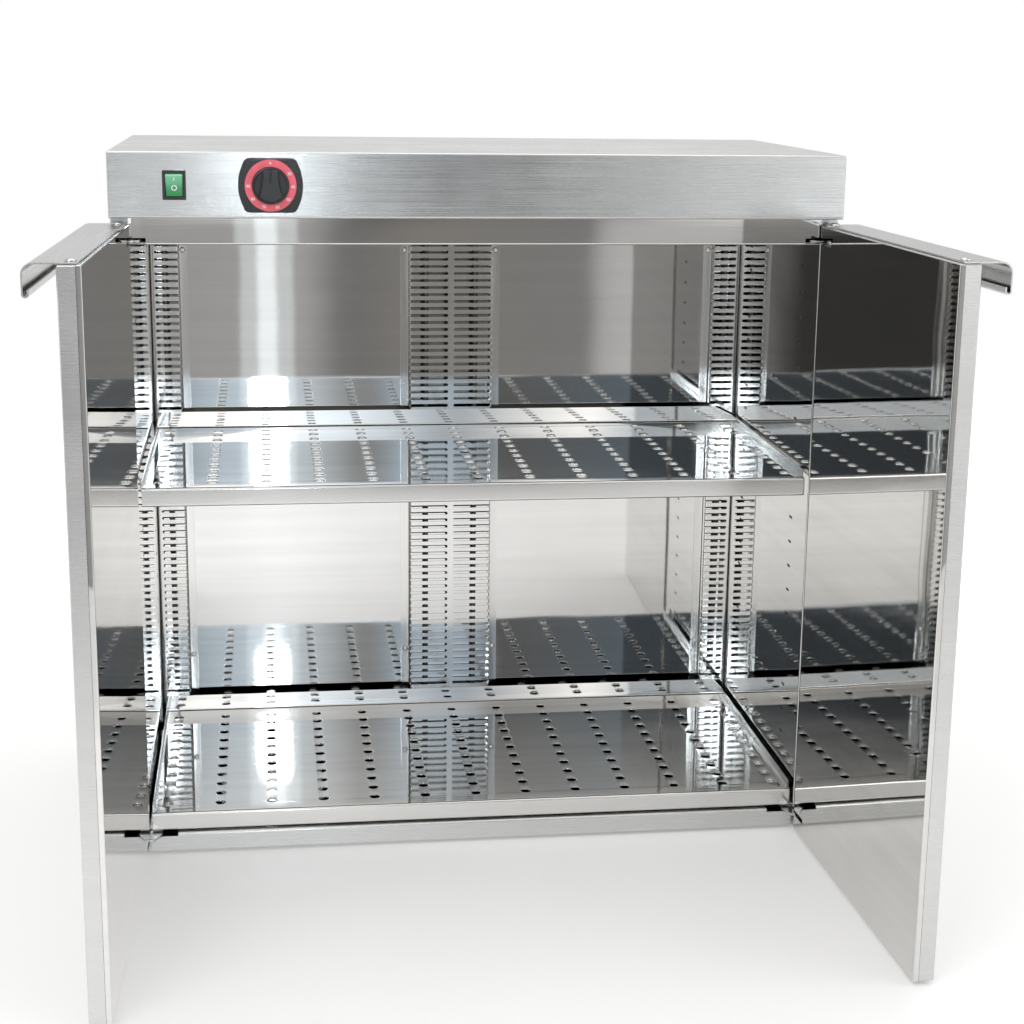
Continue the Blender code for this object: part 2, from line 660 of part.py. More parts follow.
def build_shelves(finish):
    """Both trays and the two runners that carry the lower one."""
    for name, top in (("middle_shelf", MIDDLE_SHELF_TOP), ("lower_shelf", LOWER_SHELF_TOP)):
        slide = add_empty(name + "_slide", Vector((0.0, FRONT, top)))
        build_shelf(name, top, finish, slide)
    under = LOWER_SHELF_TOP - SHELF_SHEET - SEAT_GAP
    outer = INNER_HALF - RUNNER_INSET
    inner = outer - RUNNER_WIDTH
    for label, side in SIDES.items():
        path = [(side * inner, WALL_BOTTOM), (side * inner, under - SHEET / 2), (side * outer, under - SHEET / 2),
                (side * outer, WALL_BOTTOM)]
        folded("shelf_runner_" + label, path, "Y", (FRONT + RUNNER_FRONT, COLUMN_FRONT - RUNNER_REAR), SHEET,
               finish["steel"])


def column_slots(name, spans_x):
    """Cutters of the slots in a column's face, one for each X span and height."""
    spans = []
    depth = (COLUMN_FRONT - CUT_OVERRUN, COLUMN_FRONT + CUT_OVERRUN)
    top = COLUMN_TOP - COLUMN_SLOT_MARGIN
    for index in range(fitting(top - COLUMN_BOTTOM - COLUMN_SLOT_MARGIN, COLUMN_SLOT_PITCH)):
        z = top - COLUMN_SLOT_PITCH * index
        for x in spans_x:
            spans.append((x, depth, (z - COLUMN_SLOT_HEIGHT / 2, z + COLUMN_SLOT_HEIGHT / 2)))
    return boxes(name, spans)


def build_columns(finish):
    """Slotted covers over the heaters: a hat section in the middle and half of one in each corner."""
    face = COLUMN_FRONT + COLUMN_SHEET / 2
    wall = INNER_BACK - SEAT_GAP - COLUMN_SHEET / 2
    height = (COLUMN_BOTTOM, COLUMN_TOP)
    web = COLUMN_WIDTH / 2 - COLUMN_SHEET / 2
    tip = COLUMN_WIDTH / 2 + COLUMN_FLANGE
    path = [(-tip, wall), (-web, wall), (-web, face), (web, face), (web, wall), (tip, wall)]
    middle = folded("column_cover_middle", path, "Z", height, COLUMN_SHEET, finish["mirror"])
    slot_end = COLUMN_WIDTH / 2 - COLUMN_SLOT_EDGE
    spans = [mirrored((COLUMN_BRIDGE / 2, slot_end), side) for side in SIDES.values()]
    cut(middle, column_slots("middle_slots", spans))
    outer = INNER_HALF - SEAT_GAP - COLUMN_SHEET / 2
    inner = INNER_HALF - CORNER_COLUMN_WIDTH
    for label, side in SIDES.items():
        corner = [(outer, wall), (outer, face), (inner, face), (inner, wall), (inner - COLUMN_FLANGE, wall)]
        path = [(side * x, y) for x, y in corner]
        cover = folded("column_cover_" + label, path, "Z", height, COLUMN_SHEET, finish["mirror"])
        span = mirrored((inner + COLUMN_SLOT_EDGE, INNER_HALF - CORNER_COLUMN_BRIDGE), side)
        cut(cover, column_slots("slots_" + label, [span]))


def build_heaters(finish):
    """Heating rods behind the covers: a hairpin in the middle and a straight rod in each corner."""
    top = CEILING_TOP + HEATER_TAIL
    bend = [(x, z) for x, z in arc((0.0, HEATER_BEND_BOTTOM), HEATER_SPREAD, -math.pi, 0.0, ARC_STEPS * 2)]
    path = [Vector((-HEATER_SPREAD, HEATER_Y, top))]
    path += [Vector((x, HEATER_Y, z)) for x, z in bend]
    path.append(Vector((HEATER_SPREAD, HEATER_Y, top)))
    tube("heater_middle", path, HEATER_RADIUS, finish["heater"])
    corner = heater_places()[3]
    for label, side in SIDES.items():
        points = [Vector((side * corner, HEATER_Y, top)), Vector((side * corner, HEATER_Y, HEATER_BEND_BOTTOM))]
        tube("heater_" + label, points, HEATER_RADIUS, finish["heater"])


def add_empty(name, location, turn=0.0):
    """A marker on a joint's axis that carries the pieces which move with it."""
    marker = bpy.data.objects.new(name, None)
    parts.objects.link(marker)
    marker.location = location
    marker.rotation_euler = (0.0, 0.0, turn)
    return marker


def hinge_outline(side):
    """Outline of a hinge plate around its pin, as seen from above."""
    inboard = HINGE_PLATE_WIDTH - HINGE_PLATE_OUTER
    shoulder = -PIVOT_Y + FRONT - HINGE_SHOULDER_SETBACK
    ear = arc((0.0, 0.0), HINGE_EAR_RADIUS, math.radians(200), math.radians(340), ARC_STEPS)
    shape = [(-inboard, HINGE_PLATE_TAIL), (-inboard, shoulder), (-HINGE_NOSE_WIDTH, -HINGE_NOSE_REACH)]
    shape += ear
    shape += [(HINGE_PLATE_OUTER, HINGE_EAR_RADIUS), (HINGE_PLATE_OUTER, HINGE_PLATE_TAIL)]
    return [(side * (PIVOT_X + x), PIVOT_Y + y) for x, y in shape]


def build_hinges(finish):
    """Plates fixed in the body, each with the pin that its door turns on."""
    for label, side in SIDES.items():
        lower_middle = LOWER_PLATE_TOP - HINGE_PLATE / 2
        upper_middle = UPPER_PLATE_BOTTOM + HINGE_PLATE / 2
        for place_name, middle, reach in (("lower", lower_middle, 1), ("upper", upper_middle, -1)):
            thing = plate("hinge_plate_" + place_name + "_" + label, hinge_outline(side), "XY", middle,
                          HINGE_PLATE, finish["steel"])
            centre = Vector((side * PIVOT_X, PIVOT_Y, middle + reach * HINGE_PIN_LENGTH / 2))
            join(thing, cylinder("pin_" + place_name + "_" + label, centre, "Z", HINGE_PIN_RADIUS,
                                 HINGE_PIN_LENGTH + HINGE_PLATE / 2, SMALL_FACETS))


def build_door(label, side, finish):
    """One door. Its own axes: X runs from the pin to the free edge, Y towards the inner face."""
    swing = add_empty("door_" + label + "_swing", Vector((side * PIVOT_X, PIVOT_Y, 0.0)), side * DOOR_OPEN_ANGLE)

    def along(start, stop):
        return mirrored((start, stop), -side)

    edge = along(-PIVOT_SETBACK, DOOR_FREE)
    height = (DOOR_BOTTOM, DOOR_TOP)
    fold = DOOR_HALF - DOOR_INNER_RETURN
    outer = pan("door_outer_" + label, edge, (-DOOR_HALF, fold), height, [(0, 1, 0)], DOOR_SHEET,
                finish["brushed"], swing)
    inner = pan("door_inner_" + label, edge, (fold + SEAT_GAP, DOOR_HALF), height, [(0, -1, 0)], DOOR_SHEET,
                finish["mirror"], swing)
    lower_z = (LOWER_PLATE_TOP - HINGE_PLATE - HINGE_NOTCH_PLAY, LOWER_PLATE_TOP + HINGE_NOTCH_PLAY)
    upper_z = (UPPER_PLATE_BOTTOM - HINGE_NOTCH_PLAY, UPPER_PLATE_BOTTOM + HINGE_PLATE + HINGE_NOTCH_PLAY)
    notch_x = along(-PIVOT_SETBACK - CUT_OVERRUN, HINGE_PLATE_WIDTH - HINGE_PLATE_OUTER + HINGE_NOTCH_PLAY)
    notch_y = (-DOOR_HALF + HINGE_NOTCH_PLAY, DOOR_HALF + CUT_OVERRUN)
    for place_name, span in (("lower", lower_z), ("upper", upper_z)):
        notch = box("notch_" + place_name + "_" + label, notch_x, notch_y, span, None, swing)
        cut(outer, notch)
        cut(inner, notch)
    build_bearings(label, side, finish, swing)
    handle = build_handle(label, edge, finish, swing)
    build_handle_screws(label, side, (outer, handle), finish, swing)


def build_bearings(label, side, finish, swing):
    """Blocks inside the door that run on the hinge pins."""
    wall = DOOR_SHEET + SEAT_GAP
    block_x = mirrored((-PIVOT_SETBACK + wall, -PIVOT_SETBACK + wall + BEARING_LENGTH), -side)
    block_y = (-DOOR_HALF + wall, DOOR_HALF - wall)
    lower = LOWER_PLATE_TOP + BEARING_SEAT
    upper = UPPER_PLATE_BOTTOM - BEARING_SEAT
    for place_name, span in (("lower", (lower, lower + BEARING_HEIGHT)), ("upper", (upper - BEARING_HEIGHT, upper))):
        block = box("door_bearing_" + place_name + "_" + label, block_x, block_y, span, finish["bearing"], swing)
        bore = cylinder("bore_" + place_name + "_" + label, Vector((0.0, 0.0, (span[0] + span[1]) / 2)), "Z",
                        HINGE_PIN_RADIUS + BEARING_BORE_PLAY, BEARING_HEIGHT + CUT_OVERRUN * 2, SMALL_FACETS,
                        None, swing)
        cut(block, bore)


def build_handle(label, edge, finish, swing):
    """The full-width pull: over the door's top, out, down and hemmed."""
    top = DOOR_TOP + SEAT_GAP + HANDLE_SHEET / 2
    out = -DOOR_HALF - HANDLE_REACH + HANDLE_SHEET / 2
    foot = top + HANDLE_SHEET / 2 - HANDLE_DROP + HANDLE_HEM
    path = [(DOOR_HALF - HANDLE_SETBACK, top)]
    path += arc((out + HANDLE_BEND, top - HANDLE_BEND), HANDLE_BEND, math.pi / 2, math.pi, ARC_STEPS)
    path += arc((out + HANDLE_HEM, foot), HANDLE_HEM, math.pi, math.pi * 2, ARC_STEPS)
    path.append((out + HANDLE_HEM * 2, foot + HANDLE_HEM_UP))
    return folded("door_handle_" + label, path, "X", edge, HANDLE_SHEET, finish["handle"], swing)


def build_handle_screws(label, side, held, finish, swing):
    """The two pan-head screws that hold the handle on the door's top."""
    seat = DOOR_TOP + SEAT_GAP + HANDLE_SHEET + SEAT_GAP
    bottom = seat - SCREW_SHANK_LENGTH
    shank = SCREW_SHANK_LENGTH + SCREW_HEAD_HEIGHT / 2
    for place_name, along in (("hinge", SCREW_FROM_PIN), ("free", DOOR_FREE - SCREW_FROM_FREE_EDGE)):
        x = -side * along
        tag = place_name + "_" + label
        screw = cylinder("handle_screw_" + tag, Vector((x, 0.0, seat + SCREW_HEAD_HEIGHT / 2)), "Z",
                         SCREW_HEAD_RADIUS, SCREW_HEAD_HEIGHT, SMALL_FACETS, finish["steel"], swing)
        join(screw, cylinder("shank_" + tag, Vector((x, 0.0, bottom + shank / 2)), "Z", SCREW_SHANK_RADIUS,
                             shank, SMALL_FACETS, None, swing))
        for index, sheet in enumerate(held):
            cut(sheet, cylinder("shank_hole_%d_%s" % (index, tag), Vector((x, 0.0, bottom + shank / 2)), "Z",
                                SCREW_SHANK_RADIUS + SEAT_GAP, shank, SMALL_FACETS, None, swing))


def build_switch(finish):
    """The rocker switch: housing with a bezel, and the rocker on its cross axis."""
    bezel_front = HEAD_FRONT - SEAT_GAP - SWITCH_BEZEL_DEPTH
    half_w = SWITCH_BEZEL_WIDTH / 2
    half_h = SWITCH_BEZEL_HEIGHT / 2
    housing = box("switch_housing", (SWITCH_X - half_w, SWITCH_X + half_w), (bezel_front, HEAD_FRONT - SEAT_GAP),
                  (CONTROL_Z - half_h, CONTROL_Z + half_h), finish["black"])
    body_w = SWITCH_BODY_WIDTH / 2
    body_h = SWITCH_BODY_HEIGHT / 2
    body = box("switch_body_block", (SWITCH_X - body_w, SWITCH_X + body_w),
               (bezel_front + SWITCH_BEZEL_DEPTH / 2, HEAD_FRONT + SWITCH_BODY_DEPTH),
               (CONTROL_Z - body_h, CONTROL_Z + body_h))
    join(housing, body)
    well_w = ROCKER_WIDTH / 2 + ROCKER_PLAY
    well_h = ROCKER_RADIUS + ROCKER_PLAY
    cut(housing, box("switch_well", (SWITCH_X - well_w, SWITCH_X + well_w),
                     (bezel_front - CUT_OVERRUN, bezel_front + ROCKER_WELL_DEPTH),
                     (CONTROL_Z - well_h, CONTROL_Z + well_h)))
    axis_y = HEAD_FRONT + ROCKER_AXIS_SINK
    tip = math.acos(ROCKER_TIP_RISE / ROCKER_RADIUS)
    tail = math.pi - math.acos(ROCKER_BACK / ROCKER_RADIUS)
    shape = [(ROCKER_CENTRE_RISE, 0.0)]
    shape += arc((0.0, 0.0), ROCKER_RADIUS, tip, tail, ARC_STEPS)
    shape += arc((0.0, 0.0), ROCKER_RADIUS, -tail, -tip, ARC_STEPS)
    outline = []
    for rise, height in shape:
        turned_rise = rise * math.cos(ROCKER_TILT) + height * math.sin(ROCKER_TILT)
        turned_height = height * math.cos(ROCKER_TILT) - rise * math.sin(ROCKER_TILT)
        outline.append((axis_y - turned_rise, CONTROL_Z + turned_height))
    plate("switch_rocker", outline, "YZ", SWITCH_X, ROCKER_WIDTH, finish["green"])


def escutcheon_outline():
    """The dial's plate: flat above and below, with bulging sides."""
    half_h = ESCUTCHEON_HEIGHT / 2
    half_w = ESCUTCHEON_WIDTH / 2
    bulge = half_w - ESCUTCHEON_CORNER_WIDTH / 2
    radius = (half_h ** 2 + bulge ** 2) / (2 * bulge)
    spread = math.asin(half_h / radius)
    offset = half_w - radius
    right = arc((offset, 0.0), radius, -spread, spread, ARC_STEPS * 2)
    left = arc((-offset, 0.0), radius, math.pi - spread, math.pi + spread, ARC_STEPS * 2)
    return [(DIAL_X + x, CONTROL_Z + z) for x, z in right + left]


def grip_outline():
    """The knob's grip: narrow at the pointer, wide and round at the other end."""
    side_shares = [(0.41, 0.86), (0.42, 0.48), (0.48, 0.05), (0.64, -0.48)]
    right = [(x * KNOB_RADIUS, z * KNOB_RADIUS) for x, z in side_shares]
    left = [(-x, z) for x, z in reversed(right)]
    radius = math.hypot(*right[-1])
    start = math.atan2(right[-1][1], right[-1][0])
    below = arc((0.0, 0.0), radius, start, -math.pi - start, ARC_STEPS)
    return [(DIAL_X + x, CONTROL_Z + z) for x, z in right + below[1:-1] + left]


def build_thermostat(finish):
    """Dial plate, printed scale, knob on its shaft, regulator, capillary and bulb."""
    back = HEAD_FRONT - SEAT_GAP
    face = back - ESCUTCHEON_DEPTH
    centre = Vector((DIAL_X, 0.0, CONTROL_Z))
    escutcheon = plate("dial_plate", escutcheon_outline(), "XZ", (back + face) / 2, ESCUTCHEON_DEPTH,
                       finish["black"])
    cut(escutcheon, cylinder("dial_plate_hole", centre + Vector((0, (back + face) / 2, 0)), "Y",
                             SHAFT_HOLE_RADIUS, ESCUTCHEON_DEPTH + CUT_OVERRUN * 2, SMALL_FACETS))
    scale_back = face - SEAT_GAP
    scale_middle = scale_back - SCALE_DEPTH / 2
    scale = cylinder("dial_scale", centre + Vector((0, scale_middle, 0)), "Y", SCALE_RADIUS, SCALE_DEPTH,
                     ROUND_FACETS, finish["red"])
    cut(scale, cylinder("dial_scale_hole", centre + Vector((0, scale_middle, 0)), "Y", KNOB_RADIUS + SCALE_PLAY,
                        SCALE_DEPTH + CUT_OVERRUN * 2, ROUND_FACETS))
    skirt_front = scale_back - KNOB_SKIRT
    knob = cylinder("dial_knob", centre + Vector((0, (scale_back + skirt_front) / 2, 0)), "Y", KNOB_RADIUS,
                    KNOB_SKIRT, ROUND_FACETS, finish["black"])
    grip_depth = KNOB_GRIP_RISE + KNOB_SKIRT / 2
    join(knob, plate("grip_block", grip_outline(), "XZ", skirt_front + KNOB_SKIRT / 2 - grip_depth / 2, grip_depth))
    bore_depth = KNOB_BORE_DEPTH + CUT_OVERRUN
    bore_middle = scale_back + CUT_OVERRUN - bore_depth / 2
    cut(knob, cylinder("knob_bore", centre + Vector((0, bore_middle, 0)), "Y", SHAFT_RADIUS + SHAFT_PLAY,
                       bore_depth, SMALL_FACETS))
    shaft_front = scale_back - KNOB_BORE_DEPTH + SEAT_GAP
    body_front = HEAD_FRONT + SHEET + SEAT_GAP
    shaft_rear = body_front + SHAFT_REACH
    cylinder("dial_shaft", centre + Vector((0, (shaft_front + shaft_rear) / 2, 0)), "Y", SHAFT_RADIUS,
             shaft_rear - shaft_front, SMALL_FACETS, finish["steel"])
    half_w = THERMOSTAT_WIDTH / 2
    half_h = THERMOSTAT_HEIGHT / 2
    regulator = box("thermostat_body", (DIAL_X - half_w, DIAL_X + half_w),
                    (body_front, body_front + THERMOSTAT_DEPTH), (CONTROL_Z - half_h, CONTROL_Z + half_h),
                    finish["cream"])
    cut(regulator, cylinder("regulator_bore", centre + Vector((0, body_front + SHAFT_REACH / 2, 0)), "Y",
                            SHAFT_RADIUS + SHAFT_PLAY, SHAFT_REACH + CUT_OVERRUN, SMALL_FACETS))
    build_capillary(finish)


def capillary_x():
    return DIAL_X + CAPILLARY_SIDE


def capillary_y():
    return HEAD_FRONT + SHEET + CAPILLARY_DEPTH


def bulb_y():
    return REAR - ROOF_WOOL_REAR + BULB_BEHIND


def build_capillary(finish):
    """The thin tube from the regulator, over the roof wool, down to the bulb under the ceiling."""
    x = capillary_x()
    start_z = CONTROL_Z - THERMOSTAT_HEIGHT / 2 - SEAT_GAP
    run_z = UPPER_PLATE_BOTTOM + ROOF_WOOL_THICKNESS + CAPILLARY_RISE
    near = capillary_y()
    far = bulb_y()
    bulb_z = CEILING_BOTTOM - BULB_DROP
    path = [Vector((x, near, start_z))]
    lower_bend = arc((near + CAPILLARY_BEND, run_z + CAPILLARY_BEND), CAPILLARY_BEND, math.pi, math.pi * 1.5,
                     ARC_STEPS)
    path += [Vector((x, y, z)) for y, z in lower_bend]
    upper_bend = arc((far - CAPILLARY_BEND, run_z - CAPILLARY_BEND), CAPILLARY_BEND, math.pi / 2, 0.0, ARC_STEPS)
    path += [Vector((x, y, z)) for y, z in upper_bend]
    path.append(Vector((x, far, bulb_z)))
    sensor = tube("thermostat_sensor", path, CAPILLARY_RADIUS, finish["copper"])
    join(sensor, cylinder("sensor_bulb", Vector((x, far, bulb_z)), "X", BULB_RADIUS, BULB_LENGTH, SMALL_FACETS))


def build_mains(finish):
    """The cable gland through the back of the head and the terminal block inside."""
    outside = REAR + GLAND_LENGTH
    inside = REAR - SHEET - GLAND_INSIDE
    gland = cylinder("cable_gland", Vector((GLAND_X, (outside + inside) / 2, CONTROL_Z)), "Y", GLAND_RADIUS,
                     outside - inside, SMALL_FACETS, finish["black"])
    nut_middle = REAR + SEAT_GAP + GLAND_LENGTH / 4
    join(gland, cylinder("gland_nut", Vector((GLAND_X, nut_middle, CONTROL_Z)), "Y", GLAND_NUT_RADIUS,
                         GLAND_LENGTH / 2, SMALL_FACETS // 2))
    cut(gland, cylinder("gland_bore", Vector((GLAND_X, (outside + inside) / 2, CONTROL_Z)), "Y", GLAND_BORE,
                        outside - inside + CUT_OVERRUN * 2, SMALL_FACETS))
    floor = HEAD_BASE + SHEET + SEAT_GAP
    middle = REAR - TERMINAL_BEHIND
    box("terminal_block", (GLAND_X - TERMINAL_LENGTH / 2, GLAND_X + TERMINAL_LENGTH / 2),
        (middle - TERMINAL_DEPTH / 2, middle + TERMINAL_DEPTH / 2), (floor, floor + TERMINAL_HEIGHT),
        finish["cream"])


def make_finishes():
    return {
        "casing": make_material("casing_steel", (0.62, 0.62, 0.61), 0.35, 1.0),
        "brushed": make_material("brushed_steel", (0.66, 0.66, 0.66), 0.32, 1.0),
        "mirror": make_material("polished_steel", (0.70, 0.70, 0.69), 0.12, 1.0),
        "liner": make_material("liner_steel", (0.60, 0.60, 0.59), 0.30, 1.0),
        "handle": make_material("handle_steel", (0.64, 0.64, 0.64), 0.30, 1.0),
        "steel": make_material("bracket_steel", (0.55, 0.55, 0.54), 0.30, 1.0),
        "heater": make_material("heater_sheath", (0.25, 0.23, 0.21), 0.45, 1.0),
        "copper": make_material("copper", (0.72, 0.42, 0.28), 0.30, 1.0),
        "wool": make_material("mineral_wool", (0.70, 0.62, 0.40), 0.95, 0.0),
        "black": make_material("black_plastic", (0.03, 0.03, 0.03), 0.45, 0.0),
        "bearing": make_material("bearing_plastic", (0.80, 0.80, 0.76), 0.50, 0.0),
        "foot": make_material("foot_plastic", (0.05, 0.05, 0.05), 0.60, 0.0),
        "green": make_material("green_plastic", (0.08, 0.55, 0.22), 0.30, 0.0),
        "red": make_material("red_scale", (0.80, 0.10, 0.12), 0.40, 0.0),
        "cream": make_material("cream_plastic", (0.75, 0.72, 0.62), 0.50, 0.0),
    }


def main():
    global parts, cutters
    clear_scene()
    parts = make_collection("food_warmer_cabinet")
    cutters = make_collection("cutters")
    finish = make_finishes()
    build_base(finish)
    build_walls(finish)
    build_roof(finish)
    build_head(finish)
    build_clips(finish)
    build_shelves(finish)
    build_columns(finish)
    build_heaters(finish)
    build_hinges(finish)
    for label, side in SIDES.items():
        build_door(label, side, finish)
    build_switch(finish)
    build_thermostat(finish)
    build_mains(finish)


main()
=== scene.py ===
"""Dressed model of a countertop food warmer, built around the packed parts of the cabinet.

Metres, +Z up, the doorway faces -Y. The doors stand open, and every piece rides on the body it belongs to.
"""

import json
import math

import bmesh
import bpy
import numpy as np
from mathutils import Matrix, Vector


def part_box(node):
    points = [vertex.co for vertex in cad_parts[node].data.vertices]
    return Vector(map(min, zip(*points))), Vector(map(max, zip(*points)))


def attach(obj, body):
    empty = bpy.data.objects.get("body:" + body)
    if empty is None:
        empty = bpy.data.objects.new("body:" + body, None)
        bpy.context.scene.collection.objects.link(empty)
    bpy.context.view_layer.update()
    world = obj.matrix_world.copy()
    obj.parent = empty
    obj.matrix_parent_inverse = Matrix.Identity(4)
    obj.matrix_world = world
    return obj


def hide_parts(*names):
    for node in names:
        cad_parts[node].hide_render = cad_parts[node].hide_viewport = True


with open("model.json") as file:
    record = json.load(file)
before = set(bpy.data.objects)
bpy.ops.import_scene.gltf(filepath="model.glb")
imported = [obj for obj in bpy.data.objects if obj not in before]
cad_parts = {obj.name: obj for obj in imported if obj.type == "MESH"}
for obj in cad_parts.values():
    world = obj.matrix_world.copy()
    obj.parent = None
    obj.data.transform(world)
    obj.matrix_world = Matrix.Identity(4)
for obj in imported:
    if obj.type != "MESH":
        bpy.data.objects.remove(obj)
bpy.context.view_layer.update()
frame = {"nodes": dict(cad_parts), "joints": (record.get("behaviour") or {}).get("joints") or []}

bl_info = {
    "name": "Food Warmer Cabinet",
    "version": (1, 0, 0),
    "blender": (4, 5, 0),
    "location": "3D View > Sidebar > Warmer",
    "description": "Builds the sheet metal, controls and studio of a countertop food warmer",
    "category": "Add Mesh",
}

PAN_LOW, PAN_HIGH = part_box("base_pan")
HEAD_LOW, HEAD_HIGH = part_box("head_cover")
LINER_LOW, LINER_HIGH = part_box("side_liner_right")
HEADER_LOW, HEADER_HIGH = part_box("header_strip")
SHELF_LOW, SHELF_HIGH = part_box("middle_shelf")
TRAY_LOW, TRAY_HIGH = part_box("lower_shelf")
COLUMN_LOW, COLUMN_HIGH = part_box("column_cover_middle")
CORNER_LOW, CORNER_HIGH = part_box("column_cover_right")
DIAL_LOW, DIAL_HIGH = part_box("dial_plate")
SCALE_LOW, SCALE_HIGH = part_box("dial_scale")
KNOB_LOW, KNOB_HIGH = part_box("dial_knob")
SWITCH_LOW, SWITCH_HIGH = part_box("switch_housing")
JOINTS = {joint["name"]: joint for joint in frame["joints"]}
SIDES = {"left": -1, "right": 1}
GRAIN = "grain"
TREES = {}
FINISHES = {}
DOOR_REST_ANGLE = math.radians(92.0)
# How much rougher a tray's lip is than its deck
DULL_EDGE = 0.15
# How far a cutting block stands out past its sheet, and what pieces keep from a fold or a hinge plate
PAST = 0.002
# Just over a sheet's thickness: how deep a block bites into one sheet, or what it leaves beside another
BITE = 0.0015
# Clear gap round a hinge plate where it passes a sheet, and the plate's own thickness
PLATE_GAP = 0.0015
PLATE_GAUGE = 0.003
# How far the notch for a hinge plate reaches into the door from the pin
DOOR_NOTCH = 0.026
# Notches in the rail for the lower hinges: from the wall inwards, and below the plate
RAIL_NOTCH = 0.033
NOTCH_FLOOR = 0.0006
# Outer folds of the head and the rail, and the height of the strip that carries each one's return
EDGE_FOLD = 0.0022
EDGE_STEPS = 6
RAIL_STRIP = 0.006
HEAD_STRIP = 0.007
# Screw heads: radius, height and width of the recess
COVER_SCREW = (0.0037, 0.0021, 0.0009)
HANDLE_SCREW = (0.0055, 0.0025, 0.0012)
# Cover screws: their heights, and how far they sit inside the edges of the middle and corner covers
COVER_SCREW_HEIGHTS = (0.658, 0.1215)
COLUMN_SCREW = 0.0055
CORNER_SCREW = 0.0060
# Handle screws: from the pin to the one near the hinge, and from the free edge to the other
HINGE_SCREW = 0.0045
FREE_SCREW = 0.015
# The rolled edge of a handle goes on inside as a short straight tail
HEM_TAIL = 0.004
# From a cover's top to its highest slot
FIRST_VENT = 0.0064
# A rounded right angle makes a path shorter by this share of its radius, and by half of it up to its middle
FOLD_SHARE = 0.43
HALF_FOLD_SHARE = 0.2146
# Notches in the header for the upper hinges: from the wall inwards and outwards
HEADER_NOTCH = (0.018, 0.01)
# Hinge plate: radius of its round end, and the pin's collar, radius and length
EAR = 0.0075
PIN_COLLAR = 0.0058
PIN = 0.004
PIN_LENGTH = 0.014
# From the middle of the cable gland's nut to its corners
NUT = 0.012
# Printed marks on the dial: their thickness, and how far they stand off the ring
PRINT = 0.00008
PRINT_LIFT = 0.00005
# Shank of a handle screw, and how far its head sinks into the handle
SHANK = 0.002
SHANK_TAPER = 0.0008
HEAD_SINK = 0.0003
# Half the size of the opening that the switch goes through, and of the hole for the dial's shaft
SWITCH_OPENING = (0.0113, 0.0143)
SHAFT_OPENING = (0.005, 0.005)
GLAND_HOLE = 0.009
WELD = 1e-6

# What the polished steel mirrors in front of the cabinet: (bearing in radians, level, warmth)
ROOM_SPAN = 1.2
ROOM_BELOW = (
    (-1.2, 1.2, 0.0), (-0.6, 0.05, 0.0), (-0.28, 0.05, 0.0), (-0.26, 0.25, 0.0), (0.02, 0.45, 0.0),
    (0.04, 0.2, 0.0), (0.08, 0.25, 0.05), (0.17, 0.25, 0.0), (0.18, 0.55, 0.0), (0.25, 0.55, 0.0),
    (0.26, 0.3, 0.0), (1.2, 1.2, 0.0))
ROOM_LEVEL = (
    (-1.2, 0.75, 0.0), (-0.06, 0.7, 0.0), (-0.02, 1.2, 0.0), (0.05, 0.1, 0.0), (0.18, 0.1, 0.0),
    (0.3, 2.7, 0.0), (1.2, 0.75, 0.0))
ROOM_ABOVE = (
    (-1.2, 0.7, 0.0), (-0.6, 0.05, -0.1), (-0.1, 0.1, -0.2), (-0.02, 0.9, -0.15), (0.02, 0.9, -0.1),
    (0.05, 0.3, 0.0), (0.08, 0.8, -0.2), (0.11, 0.8, -0.2), (0.12, 0.15, 0.0), (0.24, 0.2, -0.3),
    (0.6, 0.15, 0.0), (1.2, 0.7, 0.0))
ROOM_LEDGE = (
    (-1.2, 0.7, 0.0), (-0.1, 0.8, -0.1), (-0.03, 2.0, 0.0), (0.03, 1.6, -0.1), (0.1, 0.6, -0.1),
    (0.17, 1.6, 0.0), (0.2, 0.9, -0.1), (0.24, 1.3, -0.1), (0.6, 0.6, 0.0), (1.2, 0.7, 0.0))
ROOM_TOP = ((-1.2, 0.7, 0.0), (0.0, 1.1, 0.0), (0.13, 0.6, 0.0), (0.3, 1.0, 0.0), (1.2, 0.8, 0.0))
# Each zone, and between which elevations in degrees it takes over from the one before
ROOM_ZONES = (
    (ROOM_LEVEL, -4.8, -4.3), (ROOM_LEDGE, 4.4, 5.0), (ROOM_ABOVE, 7.9, 8.7), (ROOM_LEDGE, 12.8, 13.3),
    (ROOM_ABOVE, 15.3, 15.9), (ROOM_TOP, 19.0, 26.0))

# Lamps: name, place, size and share of the lamp power. All face the cabinet's middle.
LAMPS = (
    ("lamp_main", (-1.5, -2.4, 2.6), 1.6, 1.7), ("lamp_side", (2.3, -1.2, 1.9), 1.4, 0.8),
    ("lamp_top", (0.0, 0.2, 3.0), 2.2, 1.6))
LAMP_TARGET = (0, 0, 0.4)
FLASH_OFFSET = Vector((0, -0.07, 0.05))
FLASH_SIZE = (0.08, 0.34)
FLASH_COLOUR = (0.80, 0.91, 1.0)
# The tall lamps that the steel mirrors: name, share of the width and share of the level
STREAKS = (("lamp_streak", 1.0, 1.0), ("lamp_glow", 2.8, 0.4))
STREAK_HEIGHT = 1.25
STREAK_MIDDLE = 0.63
STREAK_COLOUR = (0.86, 0.94, 1.0)
SPARK_PLACE = (1.5, -1.9, 2.1)
SPARK_SIZE = 0.12
# Table: colour, half its width, and its rear edge
TABLE_WHITE = (0.86, 0.855, 0.85, 1)
TABLE_SIDE = 2.6
TABLE_REAR = 3.0
# Its own light, each as two levels and the two places in metres that they start at. The lift as the camera
# sees it and the fade go by distance from the middle, the gleam that the steel mirrors goes from left to right.
TABLE_LIFT = (0.20, 0.45, 0.7, 1.5)
TABLE_GLEAM = (0.28, 0.14, -0.15, 0.30)
GLEAM_FADE = (1.0, 0.0, 1.45, 1.65)


